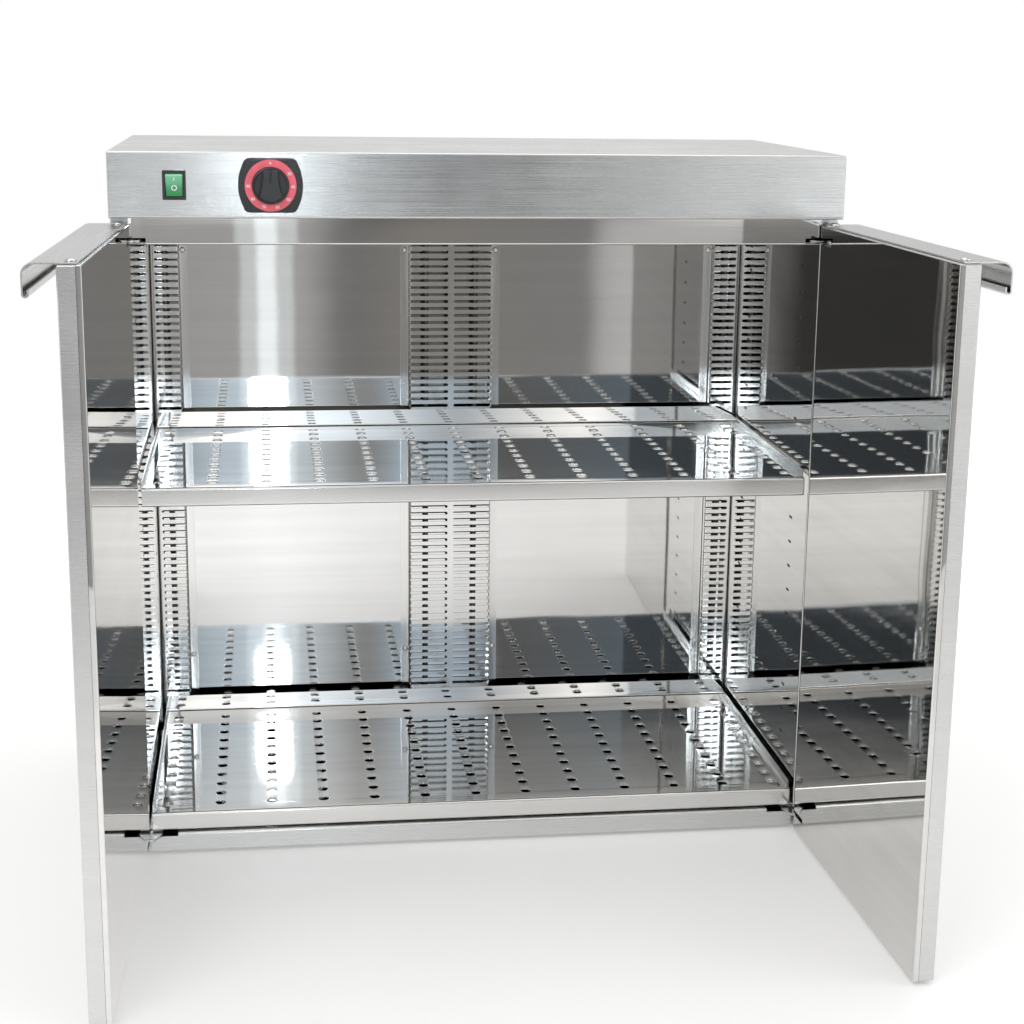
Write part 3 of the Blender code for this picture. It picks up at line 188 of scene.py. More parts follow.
def length_prop(label, meaning, default):
    return bpy.props.FloatProperty(name=label, description=meaning, default=default, unit="LENGTH")


def count_prop(label, meaning, default):
    return bpy.props.IntProperty(name=label, description=meaning, default=default, min=1)


def angle_prop(label, meaning, degrees):
    default = math.radians(degrees)
    return bpy.props.FloatProperty(name=label, description=meaning, default=default, subtype="ANGLE")


def colour_prop(label, meaning, default):
    return bpy.props.FloatVectorProperty(name=label, description=meaning, default=default, subtype="COLOR")


class WARMER_PG_sheet(bpy.types.PropertyGroup):
    """Gauges and folds of the sheet metal."""

    gauge: length_prop("Sheet", "Thickness of the cabinet's sheet", 0.0012)
    liner_gauge: length_prop("Liner sheet", "Thickness of liners, covers and door skins", 0.0010)
    fold_radius: length_prop("Fold radius", "Outer radius of a fold", 0.0019)
    return_depth: length_prop("Return", "Depth of the folded edge on the rail and under the head", 0.009)
    bead: length_prop("Rolled edge", "Radius of the rolled edge beside the doorway", 0.0015)
    fold_steps: count_prop("Fold steps", "Facets around each fold", 4)
    seam: length_prop("Seam", "Gap between neighbouring sheets", 0.0003)


class WARMER_PG_shelf(bpy.types.PropertyGroup):
    """The perforated trays."""

    hole_diameter: length_prop("Hole diameter", "Diameter of a shelf hole", 0.0115)
    hole_rim: length_prop("Hole rim", "Radius of the drawn edge round a hole", 0.0008)
    pitch_x: length_prop("Column pitch", "Spacing of the hole columns", 0.060)
    pitch_y: length_prop("Row pitch", "Spacing of the hole rows", 0.0298)
    columns: count_prop("Columns", "Hole columns", 13)
    rows: count_prop("Rows", "Hole rows in the deck", 11)
    rear_margin: length_prop("Rear margin", "From the upstand to the first row", 0.0285)
    lip: length_prop("Lip", "Height of the front lip", 0.0213)
    upstand: length_prop("Upstand", "Height of the rear upstand", 0.020)
    fold_radius: length_prop("Fold radius", "Outer radius of the tray's folds", 0.0024)
    lip_return: length_prop("Lip return", "Depth of the fold under the front lip", 0.008)
    lean: length_prop("Lean", "How far the rear upstand leans back", 0.0007)
    side_upstand: length_prop("Side upstand", "Height of the side upstands", 0.008)
    side_setback: length_prop("Side setback", "From the lip to the side upstands", 0.007)


class WARMER_PG_slots(bpy.types.PropertyGroup):
    """Slots of the heater covers and of the side walls."""

    vent_height: length_prop("Vent height", "Height of a vent slot", 0.0040)
    vent_pitch: length_prop("Vent pitch", "Spacing of the vent slots", 0.00907)
    vent_count: count_prop("Vents", "Slots in each row", 72)
    bridge: length_prop("Bridge", "Solid strip between the two rows", 0.007)
    corner_bridge: length_prop("Corner bridge", "Solid strip beside the wall", 0.0045)
    flange: length_prop("Flange", "Flange on the back wall", 0.011)
    wrap: length_prop("Wrap", "How far a slot runs round the cover's fold", 0.0016)
    hook_length: length_prop("Hook slot length", "Length of a hook slot", 0.012)
    hook_height: length_prop("Hook slot height", "Height of a hook slot", 0.003)
    hook_pitch: length_prop("Hook slot pitch", "Spacing of the hook slots", 0.030)
    hook_count: count_prop("Hook slots", "Slots in each row", 22)
    hook_first: length_prop("Lowest hook slot", "Height of the lowest hook slot", 0.0395)
    hook_front: length_prop("Front row", "From the body's front to the front row", 0.070)
    hook_rear: length_prop("Rear row", "From the body's front to the rear row", 0.304)


class WARMER_PG_door(bpy.types.PropertyGroup):
    """The two doors, in their own closed position."""

    setback: length_prop("Pin setback", "From the hinge edge to the pin", 0.0075)
    width: length_prop("Width", "Door width", 0.396)
    thickness: length_prop("Thickness", "Door thickness", 0.022)
    inner_return: length_prop("Inner return", "Depth of the polished inner pan", 0.0055)
    bottom: length_prop("Bottom", "Height of the lower edge", 0.004)
    top: length_prop("Top", "Height of the upper edge", 0.722)
    handle_gauge: length_prop("Handle sheet", "Thickness of the pull", 0.0015)
    handle_reach: length_prop("Handle reach", "How far the pull stands out", 0.030)
    handle_drop: length_prop("Handle drop", "Height of the pull", 0.030)
    handle_bend: length_prop("Handle bend", "Radius of the pull's upper bend", 0.010)
    handle_hem: length_prop("Hem radius", "Radius of the rolled edge", 0.0025)
    handle_setback: length_prop("Handle setback", "From the inner face to the pull", 0.004)


class WARMER_PG_dial(bpy.types.PropertyGroup):
    """Thermostat dial and power switch."""

    first_mark: angle_prop("First number", "Angle of the lowest number", 58.0)
    mark_step: angle_prop("Number step", "Angle between numbers", 35.0)
    lowest: bpy.props.IntProperty(name="Lowest number", description="First printed number", default=30)
    highest: bpy.props.IntProperty(name="Highest number", description="Last printed number", default=90)
    number_height: length_prop("Number height", "Height of the printed numbers", 0.0044)
    rocker_tilt: angle_prop("Rocker tilt", "Tilt of the rocker from its middle", 11.0)


class WARMER_PG_finish(bpy.types.PropertyGroup):
    """Colours of the materials."""

    brushed: colour_prop("Brushed steel", "Outer sheet", (0.66, 0.66, 0.65))
    polished: colour_prop("Polished steel", "Inner sheet", (0.73, 0.72, 0.70))
    bracket: colour_prop("Plain steel", "Brackets and screws", (0.64, 0.64, 0.63))
    sheath: colour_prop("Heater sheath", "Heating rods", (0.20, 0.18, 0.16))
    copper: colour_prop("Copper", "Sensor tube", (0.72, 0.42, 0.28))
    wool: colour_prop("Mineral wool", "Insulation", (0.17, 0.15, 0.12))
    black: colour_prop("Black plastic", "Dial, bezel and gland", (0.03, 0.031, 0.034))
    scale: colour_prop("Scale red", "Ring behind the numbers", (0.90, 0.15, 0.20))
    rocker: colour_prop("Rocker", "Green rocker", (0.02, 0.25, 0.07))
    # Painted highlight: the rocker's top is drawn paler green than its lower part
    rocker_top: colour_prop("Rocker top", "Paler green where the lens is thin", (0.26, 0.70, 0.42))
    print: colour_prop("Print", "Numbers and marks", (0.90, 0.90, 0.88))
    cream: colour_prop("Cream plastic", "Regulator and terminals", (0.75, 0.72, 0.62))
    acetal: colour_prop("White plastic", "Door bearings", (0.80, 0.80, 0.76))
    rubber: colour_prop("Rubber", "Feet", (0.03, 0.03, 0.03))


class WARMER_PG_studio(bpy.types.PropertyGroup):
    """Camera, lamps and table."""

    eye: bpy.props.FloatVectorProperty(
        name="Camera place", description="Where the camera stands", default=(-0.23597, -2.25679, 0.89914),
        subtype="TRANSLATION", unit="LENGTH")
    aim: bpy.props.FloatVectorProperty(
        name="Camera turn", description="The camera's angles",
        default=(math.radians(76.7532), math.radians(-0.7590), math.radians(-7.7454)), subtype="EULER")
    lens: bpy.props.FloatProperty(name="Lens", description="Focal length in millimetres", default=66.403)
    shift: bpy.props.FloatVectorProperty(
        name="Shift", description="Lens shift", default=(-0.01395, -0.00825), size=2)
    table_front: length_prop("Table front", "Place of the table's front edge", -2.15)
    streak_level: bpy.props.FloatProperty(
        name="Streak level", description="Level of the tall lamp that the steel mirrors", default=0.8)
    streak_width: length_prop("Streak width", "Width of the tall lamp", 0.05)
    lamp_power: bpy.props.FloatProperty(name="Lamp power", description="Power of the main lamp", default=12.0)
    flash_power: bpy.props.FloatProperty(
        name="Flash power", description="Power of the small lamp at the camera", default=1.3)
    spark_power: bpy.props.FloatProperty(
        name="Spark power", description="Power of the small lamp that glints on edges", default=0.5)


def collection():
    return bpy.context.scene.collection


def sheet_sizes():
    return bpy.context.scene.warmer_sheet


# Geometry node trees

def new_tree(name, inputs):
    """A geometry node tree with named inputs. Returns the tree and its input node's sockets."""
    tree = bpy.data.node_groups.new(name, "GeometryNodeTree")
    tree.is_modifier = True
    for label, kind, default in inputs:
        socket = tree.interface.new_socket(name=label, in_out="INPUT", socket_type=kind)
        if default is not None:
            socket.default_value = default
    tree.interface.new_socket(name="Geometry", in_out="OUTPUT", socket_type="NodeSocketGeometry")
    return tree, tree.nodes.new("NodeGroupInput").outputs


def node(tree, kind, links=(), values=(), **settings):
    """Add a node, set its properties and values, and link its inputs by name or number."""
    item = tree.nodes.new(kind)
    for key, value in settings.items():
        setattr(item, key, value)
    for key, value in dict(values).items():
        item.inputs[key].default_value = value
    for key, source in dict(links).items():
        tree.links.new(source, item.inputs[key])
    return item


def math_node(tree, operation, first, second):
    """One sum. Numbers and sockets both work as terms."""
    item = tree.nodes.new("ShaderNodeMath")
    item.operation = operation
    for index, term in enumerate((first, second)):
        if isinstance(term, (int, float)):
            item.inputs[index].default_value = term
        else:
            tree.links.new(term, item.inputs[index])
    return item.outputs[0]


def made(tree, kind, links=(), values=(), **settings):
    """Add a node as above and return its first output."""
    return node(tree, kind, links, values, **settings).outputs[0]


def vector(tree, **parts):
    """A vector from sockets for X, Y and Z."""
    return made(tree, "ShaderNodeCombineXYZ", parts)


def moved(tree, geometry, offset):
    return made(tree, "GeometryNodeTransform", {"Geometry": geometry, "Translation": offset})


def flipped(tree, mesh):
    return made(tree, "GeometryNodeFlipFaces", {"Mesh": mesh})


def copies(tree, points, shape):
    """The shape at each point, as real geometry."""
    placed = made(tree, "GeometryNodeInstanceOnPoints", {"Points": points, "Instance": shape})
    return made(tree, "GeometryNodeRealizeInstances", {"Geometry": placed})


def rectangle(tree, width, height):
    return made(tree, "GeometryNodeCurvePrimitiveQuadrilateral", {"Width": width, "Height": height})


def filled(tree, outline, holes):
    """A flat face inside an outline, with holes."""
    return made(tree, "GeometryNodeFillCurve", {"Curve": gather(tree, outline, holes)}, mode="TRIANGLES")


def grid_places(tree, given):
    """Points in columns and rows, from a tree's counts, pitches and first place."""
    start = vector(tree, X=given["First X"], Y=given["First Y"])
    columns = made(tree, "GeometryNodeMeshLine", {
        "Count": given["Columns"], "Start Location": start, "Offset": vector(tree, X=given["Pitch X"])})
    rows = made(tree, "GeometryNodeMeshLine", {
        "Count": given["Rows"], "Offset": vector(tree, Y=given["Pitch Y"])})
    return copies(tree, columns, rows)


def gather(tree, *sources):
    """Join several geometries."""
    item = node(tree, "GeometryNodeJoinGeometry")
    for source in sources:
        tree.links.new(source, item.inputs[0])
    return item.outputs[0]


def dressed_output(tree, geometry, finish):
    """Close a tree: realize, set the finish and hand over the result."""
    real = made(tree, "GeometryNodeRealizeInstances", {"Geometry": geometry})
    dressed = made(tree, "GeometryNodeSetMaterial", {"Geometry": real, "Material": finish})
    node(tree, "NodeGroupOutput", {"Geometry": dressed})


def perforated_sheet_tree():
    """A flat sheet with a grid of round-ended holes."""
    number = "NodeSocketFloat"
    tree, given = new_tree("Perforated Sheet", (
        ("Width", number, 0.1), ("Height", number, 0.1), ("Thickness", number, 0.001),
        ("Hole Length", number, 0.01), ("Hole Width", number, 0.005), ("Columns", "NodeSocketInt", 1),
        ("Rows", "NodeSocketInt", 1), ("Pitch X", number, 0.02), ("Pitch Y", number, 0.02),
        ("First X", number, 0.0), ("First Y", number, 0.0), ("Corner Facets", "NodeSocketInt", 4),
        ("Finish", "NodeSocketMaterial", None)))
    slot = rectangle(tree, given["Hole Length"], given["Hole Width"])
    shorter = math_node(tree, "MINIMUM", given["Hole Length"], given["Hole Width"])
    # A little under a half, so that the two arcs of a round end don't meet in one point
    radius = math_node(tree, "MULTIPLY", shorter, 0.4995)
    rounded = made(tree, "GeometryNodeFilletCurve",
                   {"Curve": slot, "Radius": radius, "Count": given["Corner Facets"]}, mode="POLY")
    holes = copies(tree, grid_places(tree, given), rounded)
    face = filled(tree, rectangle(tree, given["Width"], given["Height"]), holes)
    upper = made(tree, "GeometryNodeExtrudeMesh", {"Mesh": face, "Offset Scale": given["Thickness"]},
                 {"Individual": False}, mode="FACES")
    both = gather(tree, upper, flipped(tree, face))
    closed = made(tree, "GeometryNodeMergeByDistance", {"Geometry": both}, {"Distance": WELD})
    dressed_output(tree, closed, given["Finish"])
    return tree


def drilled_sheet_tree():
    """A flat sheet with a grid of round holes whose upper rims are drawn in. Its upper face is at Z = 0."""
    number = "NodeSocketFloat"
    tree, given = new_tree("Drilled Sheet", (
        ("Width", number, 0.1), ("Height", number, 0.1), ("Thickness", number, 0.001),
        ("Radius", number, 0.005), ("Rim", number, 0.0005), ("Facets", "NodeSocketInt", 20),
        ("Columns", "NodeSocketInt", 1),
        ("Rows", "NodeSocketInt", 1), ("Pitch X", number, 0.02), ("Pitch Y", number, 0.02),
        ("First X", number, 0.0), ("First Y", number, 0.0), ("Finish", "NodeSocketMaterial", None)))
    places = grid_places(tree, given)
    outline = rectangle(tree, given["Width"], given["Height"])

    def plate(radius):
        """The sheet as a face with round holes."""
        ring = made(tree, "GeometryNodeCurvePrimitiveCircle",
                    {"Resolution": given["Facets"], "Radius": radius})
        return filled(tree, outline, copies(tree, places, ring))

    def collar(upper, lower, top, bottom):
        """A ring of the hole's wall, from one radius and height to another."""
        depth = math_node(tree, "SUBTRACT", top, bottom)
        ring = made(tree, "GeometryNodeMeshCone", {
            "Vertices": given["Facets"], "Radius Top": upper, "Radius Bottom": lower, "Depth": depth},
            fill_type="NONE")
        return flipped(tree, moved(tree, ring, vector(tree, Z=bottom)))

    mouth = math_node(tree, "ADD", given["Radius"], given["Rim"])
    bend = 1 - math.sqrt(0.5)
    throat = math_node(tree, "ADD", given["Radius"], math_node(tree, "MULTIPLY", given["Rim"], bend))
    top_z, bend_z, rim_z = [math_node(tree, "MULTIPLY", given["Rim"], share) for share in (0.0, -bend, -1.0)]
    under_z = math_node(tree, "MULTIPLY", given["Thickness"], -1.0)
    walls = gather(tree, collar(mouth, throat, top_z, bend_z), collar(throat, given["Radius"], bend_z, rim_z),
                   collar(given["Radius"], given["Radius"], rim_z, under_z))
    under = flipped(tree, moved(tree, plate(given["Radius"]), vector(tree, Z=under_z)))
    size = vector(tree, X=given["Width"], Y=given["Height"], Z=given["Thickness"])
    block = made(tree, "GeometryNodeMeshCube", {"Size": size})
    seated = moved(tree, block, vector(tree, Z=math_node(tree, "MULTIPLY", under_z, 0.5)))
    normal = made(tree, "GeometryNodeInputNormal")
    upright = node(tree, "ShaderNodeSeparateXYZ", {"Vector": normal}).outputs["Z"]
    level = math_node(tree, "GREATER_THAN", math_node(tree, "ABSOLUTE", upright, 0.0), 0.5)
    edges = made(tree, "GeometryNodeDeleteGeometry", {"Geometry": seated, "Selection": level}, domain="FACE")
    whole = gather(tree, plate(mouth), under, edges, copies(tree, places, walls))
    closed = made(tree, "GeometryNodeMergeByDistance", {"Geometry": whole}, {"Distance": 2 * WELD})
    dressed_output(tree, closed, given["Finish"])
    return tree


def screw_tree():
    """Pan-head screws with a crossed recess, one on each point, standing along Z before they are turned."""
    number = "NodeSocketFloat"
    tree, given = new_tree("Pan Head Screws", (
        ("Places", "NodeSocketGeometry", None), ("Turn", "NodeSocketRotation", None),
        ("Radius", number, 0.004), ("Height", number, 0.002), ("Recess", number, 0.0008),
        ("Finish", "NodeSocketMaterial", None)))
    ball = made(tree, "GeometryNodeMeshUVSphere", values={"Segments": 24, "Rings": 12, "Radius": 1.0})
    flat = vector(tree, X=given["Radius"], Y=given["Radius"], Z=given["Height"])
    dome = made(tree, "GeometryNodeTransform", {"Geometry": ball, "Scale": flat})
    # A block takes the dome's lower half away, and two bars cut the crossed recess
    edge = math_node(tree, "MULTIPLY", given["Radius"], 4.0)
    block = made(tree, "GeometryNodeMeshCube", {"Size": vector(tree, X=edge, Y=edge, Z=edge)})
    cutters = [moved(tree, block, vector(tree, Z=math_node(tree, "MULTIPLY", given["Radius"], -2.0)))]
    arm = math_node(tree, "MULTIPLY", given["Radius"], 1.05)
    lift = vector(tree, Z=given["Height"])
    for along, across in ((arm, given["Recess"]), (given["Recess"], arm)):
        size = vector(tree, X=along, Y=across, Z=given["Height"])
        cutters.append(moved(tree, made(tree, "GeometryNodeMeshCube", {"Size": size}), lift))
    head = made(tree, "GeometryNodeMeshBoolean", {0: dome, 1: gather(tree, *cutters)}, operation="DIFFERENCE")
    heads = made(tree, "GeometryNodeInstanceOnPoints",
                 {"Points": given["Places"], "Instance": head, "Rotation": given["Turn"]})
    dressed_output(tree, heads, given["Finish"])
    return tree


def tree_mesh(tree, values, places=()):
    """Run a tree on a set of points and return the result as a plain mesh."""
    source = bpy.data.meshes.new("places")
    source.from_pydata([tuple(place) for place in places], [], [])
    carrier = bpy.data.objects.new("carrier", source)
    collection().objects.link(carrier)
    modifier = carrier.modifiers.new("Tree", "NODES")
    modifier.node_group = tree
    sockets = {item.name: item.identifier for item in tree.interface.items_tree if item.in_out == "INPUT"}
    for label, value in values.items():
        modifier[sockets[label]] = value
    mesh = evaluated(carrier)
    bpy.data.objects.remove(carrier, do_unlink=True)
    return mesh


def evaluated(thing):
    """The mesh of an object with all its modifiers."""
    bpy.context.view_layer.update()
    graph = bpy.context.evaluated_depsgraph_get()
    final = thing.evaluated_get(graph)
    return bpy.data.meshes.new_from_object(final, preserve_all_data_layers=True, depsgraph=graph)


# Shapes

def rounded_path(corners, radius, steps):
    """A path with each of its inner corners rounded."""
    points = [Vector(corners[0])]
    for before, corner, after in zip(corners, corners[1:], corners[2:]):
        before, corner, after = Vector(before), Vector(corner), Vector(after)
        into = (corner - before).normalized()
        out = (after - corner).normalized()
        turn = into.angle_signed(out)
        if abs(turn) < 1e-4:
            points.append(corner)
            continue
        shorter = min((corner - before).length, (after - corner).length)
        setback = min(radius * math.tan(abs(turn) / 2), shorter / 2)
        actual = setback / math.tan(abs(turn) / 2)
        start = corner - into * setback
        side = Vector((into.y, -into.x)) if turn > 0 else Vector((-into.y, into.x))
        centre = start + side * actual
        spoke = start - centre
        for index in range(steps + 1):
            angle = -turn * index / steps
            points.append(centre + Matrix.Rotation(angle, 2) @ spoke)
    points.append(Vector(corners[-1]))
    return points


def arc(radius, start, sweep, steps, centre=(0.0, 0.0)):
    """Points on an arc with both its ends. Angles are in radians."""
    turns = [start + sweep * index / steps for index in range(steps + 1)]
    return [(centre[0] + radius * math.cos(turn), centre[1] + radius * math.sin(turn)) for turn in turns]


def path_lengths(points):
    total = [0.0]
    for first, second in zip(points, points[1:]):
        total.append(total[-1] + (second - first).length)
    return total


def fold_sheet(mesh, points, place, grain_across=False):
    """Bend a flat sheet along a path.

    The sheet's X, from zero, runs along the path, its Y along the folds. Its Z is the thickness.
    """
    lengths = path_lengths(points)
    bm = bmesh.new()
    bm.from_mesh(mesh)
    for length in lengths[1:-1]:
        everything = bm.verts[:] + bm.edges[:] + bm.faces[:]
        bmesh.ops.bisect_plane(bm, geom=everything, dist=1e-7, plane_co=(length, 0, 0), plane_no=(1, 0, 0))
    bmesh.ops.dissolve_degenerate(bm, edges=bm.edges[:], dist=1e-7)
    layer = bm.loops.layers.uv.new(GRAIN)
    for face in bm.faces:
        for loop in face.loops:
            spot = loop.vert.co
            loop[layer].uv = (spot.x, spot.y + spot.z) if grain_across else (spot.y, spot.x + spot.z)
    directions = [(b - a).normalized() for a, b in zip(points, points[1:])]
    normals = [Vector((-d.y, d.x)) for d in directions]
    count = len(directions)
    for vert in bm.verts:
        along = min(max(vert.co.x, 0.0), lengths[-1])
        index = int(np.searchsorted(lengths, along, side="right")) - 1
        index = min(max(index, 0), count - 1)
        normal = normals[index]
        for joint in (index, index + 1):
            if 0 < joint < count and abs(along - lengths[joint]) < 2e-6:
                blended = (normals[joint - 1] + normals[joint]).normalized()
                normal = blended / max(blended.dot(normals[joint]), 0.2)
        spot = points[index] + directions[index] * (along - lengths[index]) + normal * vert.co.z
        vert.co = place(spot.x, spot.y, vert.co.y)
    bmesh.ops.recalc_face_normals(bm, faces=bm.faces[:])
    bm.to_mesh(mesh)
    bm.free()
    smooth(mesh)
    return mesh


def smooth(mesh, degrees=32.0):
    mesh.shade_smooth()
    mesh.set_sharp_from_angle(angle=math.radians(degrees))


def flat_sheet(width, height, gauge, finish, **holes):
    """A flat sheet from X = 0 to its width, centred on Y and on its thickness, with optional holes."""
    values = {"Width": width, "Height": height, "Thickness": gauge, "Finish": FINISHES[finish],
              "Columns": 0, "Rows": 0, **holes}
    if "First X" in values:
        values["First X"] -= width / 2
    mesh = tree_mesh(TREES["sheet"], values)
    mesh.transform(Matrix.Translation((width / 2, 0, -gauge / 2)))
    return mesh


def folded(corners, span, gauge, finish, place, radius=None, steps=None, grain_across=False, **holes):
    """A folded sheet: a path of corners in the plane of the bend, and a span along the folds."""
    sizes = sheet_sizes()
    radius = sizes.fold_radius if radius is None else radius
    points = rounded_path(corners, radius, steps or sizes.fold_steps)
    sheet = flat_sheet(path_lengths(points)[-1], span[1] - span[0], gauge, finish, **holes)
    middle = (span[0] + span[1]) / 2
    return fold_sheet(sheet, points, lambda a, b, w: place(a, b, w + middle), grain_across)


def along_x(a, b, w):
    return Vector((w, a, b))


def along_y(a, b, w):
    return Vector((a, w, b))


def along_z(a, b, w):
    return Vector((a, b, w))


def facing_front(x, y, z):
    """From a shape drawn in XY with +Z towards the viewer to the head's front."""
    return Matrix.Translation((x, y, z)) @ Matrix.Rotation(math.radians(90), 4, "X")


def box_bmesh(low, high):
    bm = bmesh.new()
    low, high = Vector(low), Vector(high)
    size = high - low
    matrix = Matrix.Translation((low + high) / 2) @ Matrix.Diagonal((size.x, size.y, size.z, 1.0))
    bmesh.ops.create_cube(bm, size=1.0, matrix=matrix)
    return bm


def project_grain(mesh):
    """Box projected coordinates in metres, with the first one along the grain."""
    layer = mesh.uv_layers.get(GRAIN) or mesh.uv_layers.new(name=GRAIN)
    for polygon in mesh.polygons:
        normal = [abs(value) for value in polygon.normal]
        facing = normal.index(max(normal))
        for loop in polygon.loop_indices:
            x, y, z = mesh.vertices[mesh.loops[loop].vertex_index].co
            layer.data[loop].uv = {0: (y, z), 1: (x, z), 2: (x, y)}[facing]
    return mesh


def mesh_from(bm, name="shape"):
    mesh = bpy.data.meshes.new(name)
    bm.to_mesh(mesh)
    bm.free()
    return mesh


def soft_box(low, high, radius, segments):
    """A box with rounded edges."""
    bm = box_bmesh(low, high)
    bmesh.ops.bevel(bm, geom=bm.edges[:], offset=radius, segments=segments, profile=0.5, affect="EDGES",
                    clamp_overlap=True)
    mesh = mesh_from(bm)
    smooth(mesh)
    return project_grain(mesh)


def pan(low, high, open_sides, gauge, radius, segments=4):
    """A folded box of sheet metal with rounded folds, its walls inside the given size."""
    bm = box_bmesh(low, high)
    doomed = [f for f in bm.faces if any(f.normal.dot(Vector(side)) > 0.5 for side in open_sides)]
    bmesh.ops.delete(bm, geom=doomed, context="FACES")
    inner_edges = [edge for edge in bm.edges if len(edge.link_faces) == 2]
    bmesh.ops.bevel(bm, geom=inner_edges, offset=radius, segments=segments, profile=0.5, affect="EDGES",
                    clamp_overlap=True)
    thing = bpy.data.objects.new("pan", mesh_from(bm))
    collection().objects.link(thing)
    skin = thing.modifiers.new("Sheet", "SOLIDIFY")
    skin.thickness = gauge
    skin.offset = -1.0
    skin.use_even_offset = True
    mesh = evaluated(thing)
    bpy.data.objects.remove(thing, do_unlink=True)
    smooth(mesh)
    return project_grain(mesh)


def cut(mesh, boxes):
    """Cut boxes out of a mesh."""
    bm = bmesh.new()
    for low, high in boxes:
        block = mesh_from(box_bmesh(low, high))
        bm.from_mesh(block)
        bpy.data.meshes.remove(block)
    return carve(mesh, mesh_from(bm))


def carve(mesh, tool):
    """Cut one closed shape out of another."""
    cutter = bpy.data.objects.new("cutter", tool)
    thing = bpy.data.objects.new("cut", mesh)
    for item in (cutter, thing):
        collection().objects.link(item)
    step = thing.modifiers.new("Cut", "BOOLEAN")
    step.operation = "DIFFERENCE"
    step.solver = "EXACT"
    step.object = cutter
    result = evaluated(thing)
    for item in (cutter, thing):
        bpy.data.objects.remove(item, do_unlink=True)
    smooth(result)
    return result


def turned(profile, centre, facets, axis="Z"):
    """A turned shape from (radius, height) pairs, closed at both ends, along the axis."""
    bm = bmesh.new()
    rings = []
    for radius, height in profile:
        if radius < 1e-7:
            rings.append([bm.verts.new((0, 0, height))])
            continue
        ring = []
        for index in range(facets):
            angle = math.tau * index / facets
            ring.append(bm.verts.new((radius * math.cos(angle), radius * math.sin(angle), height)))
        rings.append(ring)
    for lower, upper in zip(rings, rings[1:]):
        for index in range(facets):
            after = (index + 1) % facets
            corners = [lower[index % len(lower)], lower[after % len(lower)],
                       upper[after % len(upper)], upper[index % len(upper)]]
            corners = [c for number, c in enumerate(corners) if c not in corners[:number]]
            bm.faces.new(corners)
    bmesh.ops.recalc_face_normals(bm, faces=bm.faces[:])
    turn = {"Z": Matrix.Identity(4), "Y": Matrix.Rotation(math.radians(90), 4, "X"),
            "X": Matrix.Rotation(math.radians(90), 4, "Y")}[axis]
    bmesh.ops.transform(bm, matrix=Matrix.Translation(centre) @ turn, verts=bm.verts[:])
    mesh = mesh_from(bm)
    smooth(mesh)
    return project_grain(mesh)


def slab(outline, low, high, radius=0.0, segments=2):
    """An outline in the XY plane extruded from low to high, its rims rounded."""
    bm = bmesh.new()
    face = bm.faces.new([bm.verts.new((x, y, low)) for x, y in outline])
    if face.normal.z > 0:
        face.normal_flip()
    grown = bmesh.ops.extrude_face_region(bm, geom=[face])
    top = [item for item in grown["geom"] if isinstance(item, bmesh.types.BMVert)]
    bmesh.ops.translate(bm, verts=top, vec=(0, 0, high - low))
    bmesh.ops.recalc_face_normals(bm, faces=bm.faces[:])
    if radius:
        rims = [edge for edge in bm.edges if abs(edge.verts[0].co.z - edge.verts[1].co.z) < 1e-9]
        bmesh.ops.bevel(bm, geom=rims, offset=radius, segments=segments, profile=0.5, affect="EDGES",
                        clamp_overlap=True)
    mesh = mesh_from(bm)
    smooth(mesh)
    return project_grain(mesh)


def joined(*meshes):
    """Several meshes as one, with their coordinates kept."""
    bm = bmesh.new()
    for mesh in meshes:
        bm.from_mesh(mesh)
        bpy.data.meshes.remove(mesh)
    result = mesh_from(bm)
    smooth(result)
    return result


def tube_mesh(points, radius, facets=12):
    """A round bar along points."""
    curve = bpy.data.curves.new("bar", "CURVE")
    curve.dimensions = "3D"
    curve.bevel_depth = radius
    curve.bevel_resolution = max(facets // 4, 1)
    curve.use_fill_caps = True
    spline = curve.splines.new("POLY")
    spline.points.add(len(points) - 1)
    for point, spot in zip(spline.points, points):
        point.co = (*spot, 1.0)
    thing = bpy.data.objects.new("bar", curve)
    collection().objects.link(thing)
    mesh = evaluated(thing)
    bpy.data.objects.remove(thing, do_unlink=True)
    bm = bmesh.new()
    bm.from_mesh(mesh)
    bmesh.ops.remove_doubles(bm, verts=bm.verts[:], dist=1e-6)
    bmesh.ops.recalc_face_normals(bm, faces=bm.faces[:])
    bm.to_mesh(mesh)
    bm.free()
    smooth(mesh, 50)
    return project_grain(mesh)


def screw_heads(places, turn, sizes):
    """Pan heads at some places. The sizes are radius, height and width of the recess."""
    radius, height, recess = sizes
    mesh = tree_mesh(TREES["screws"], {"Turn": turn, "Radius": radius, "Height": height, "Recess": recess,
                                       "Finish": FINISHES["bracket"]}, places)
    smooth(mesh)
    return project_grain(mesh)


def text_mesh(text, height, matrix, depth):
    """Printed characters, centred on the matrix's origin and facing its +Z."""
    curve = bpy.data.curves.new("print", "FONT")
    curve.body = text
    curve.size = height
    curve.extrude = depth
    curve.offset = height * 0.012
    curve.align_x = "CENTER"
    curve.align_y = "CENTER"
    curve.resolution_u = 3
    thing = bpy.data.objects.new("print", curve)
    collection().objects.link(thing)
    mesh = evaluated(thing)
    bpy.data.objects.remove(thing, do_unlink=True)
    mesh.transform(matrix)
    return mesh


def level_shading(mesh):
    """Weight the normals by area, so that a flat face stays flat beside its rounded folds."""
    thing = bpy.data.objects.new("shaded", mesh)
    collection().objects.link(thing)
    step = thing.modifiers.new("Normals", "WEIGHTED_NORMAL")
    step.mode = "FACE_AREA"
    step.weight = 100
    step.keep_sharp = True
    result = evaluated(thing)
    bpy.data.objects.remove(thing, do_unlink=True)
    return result


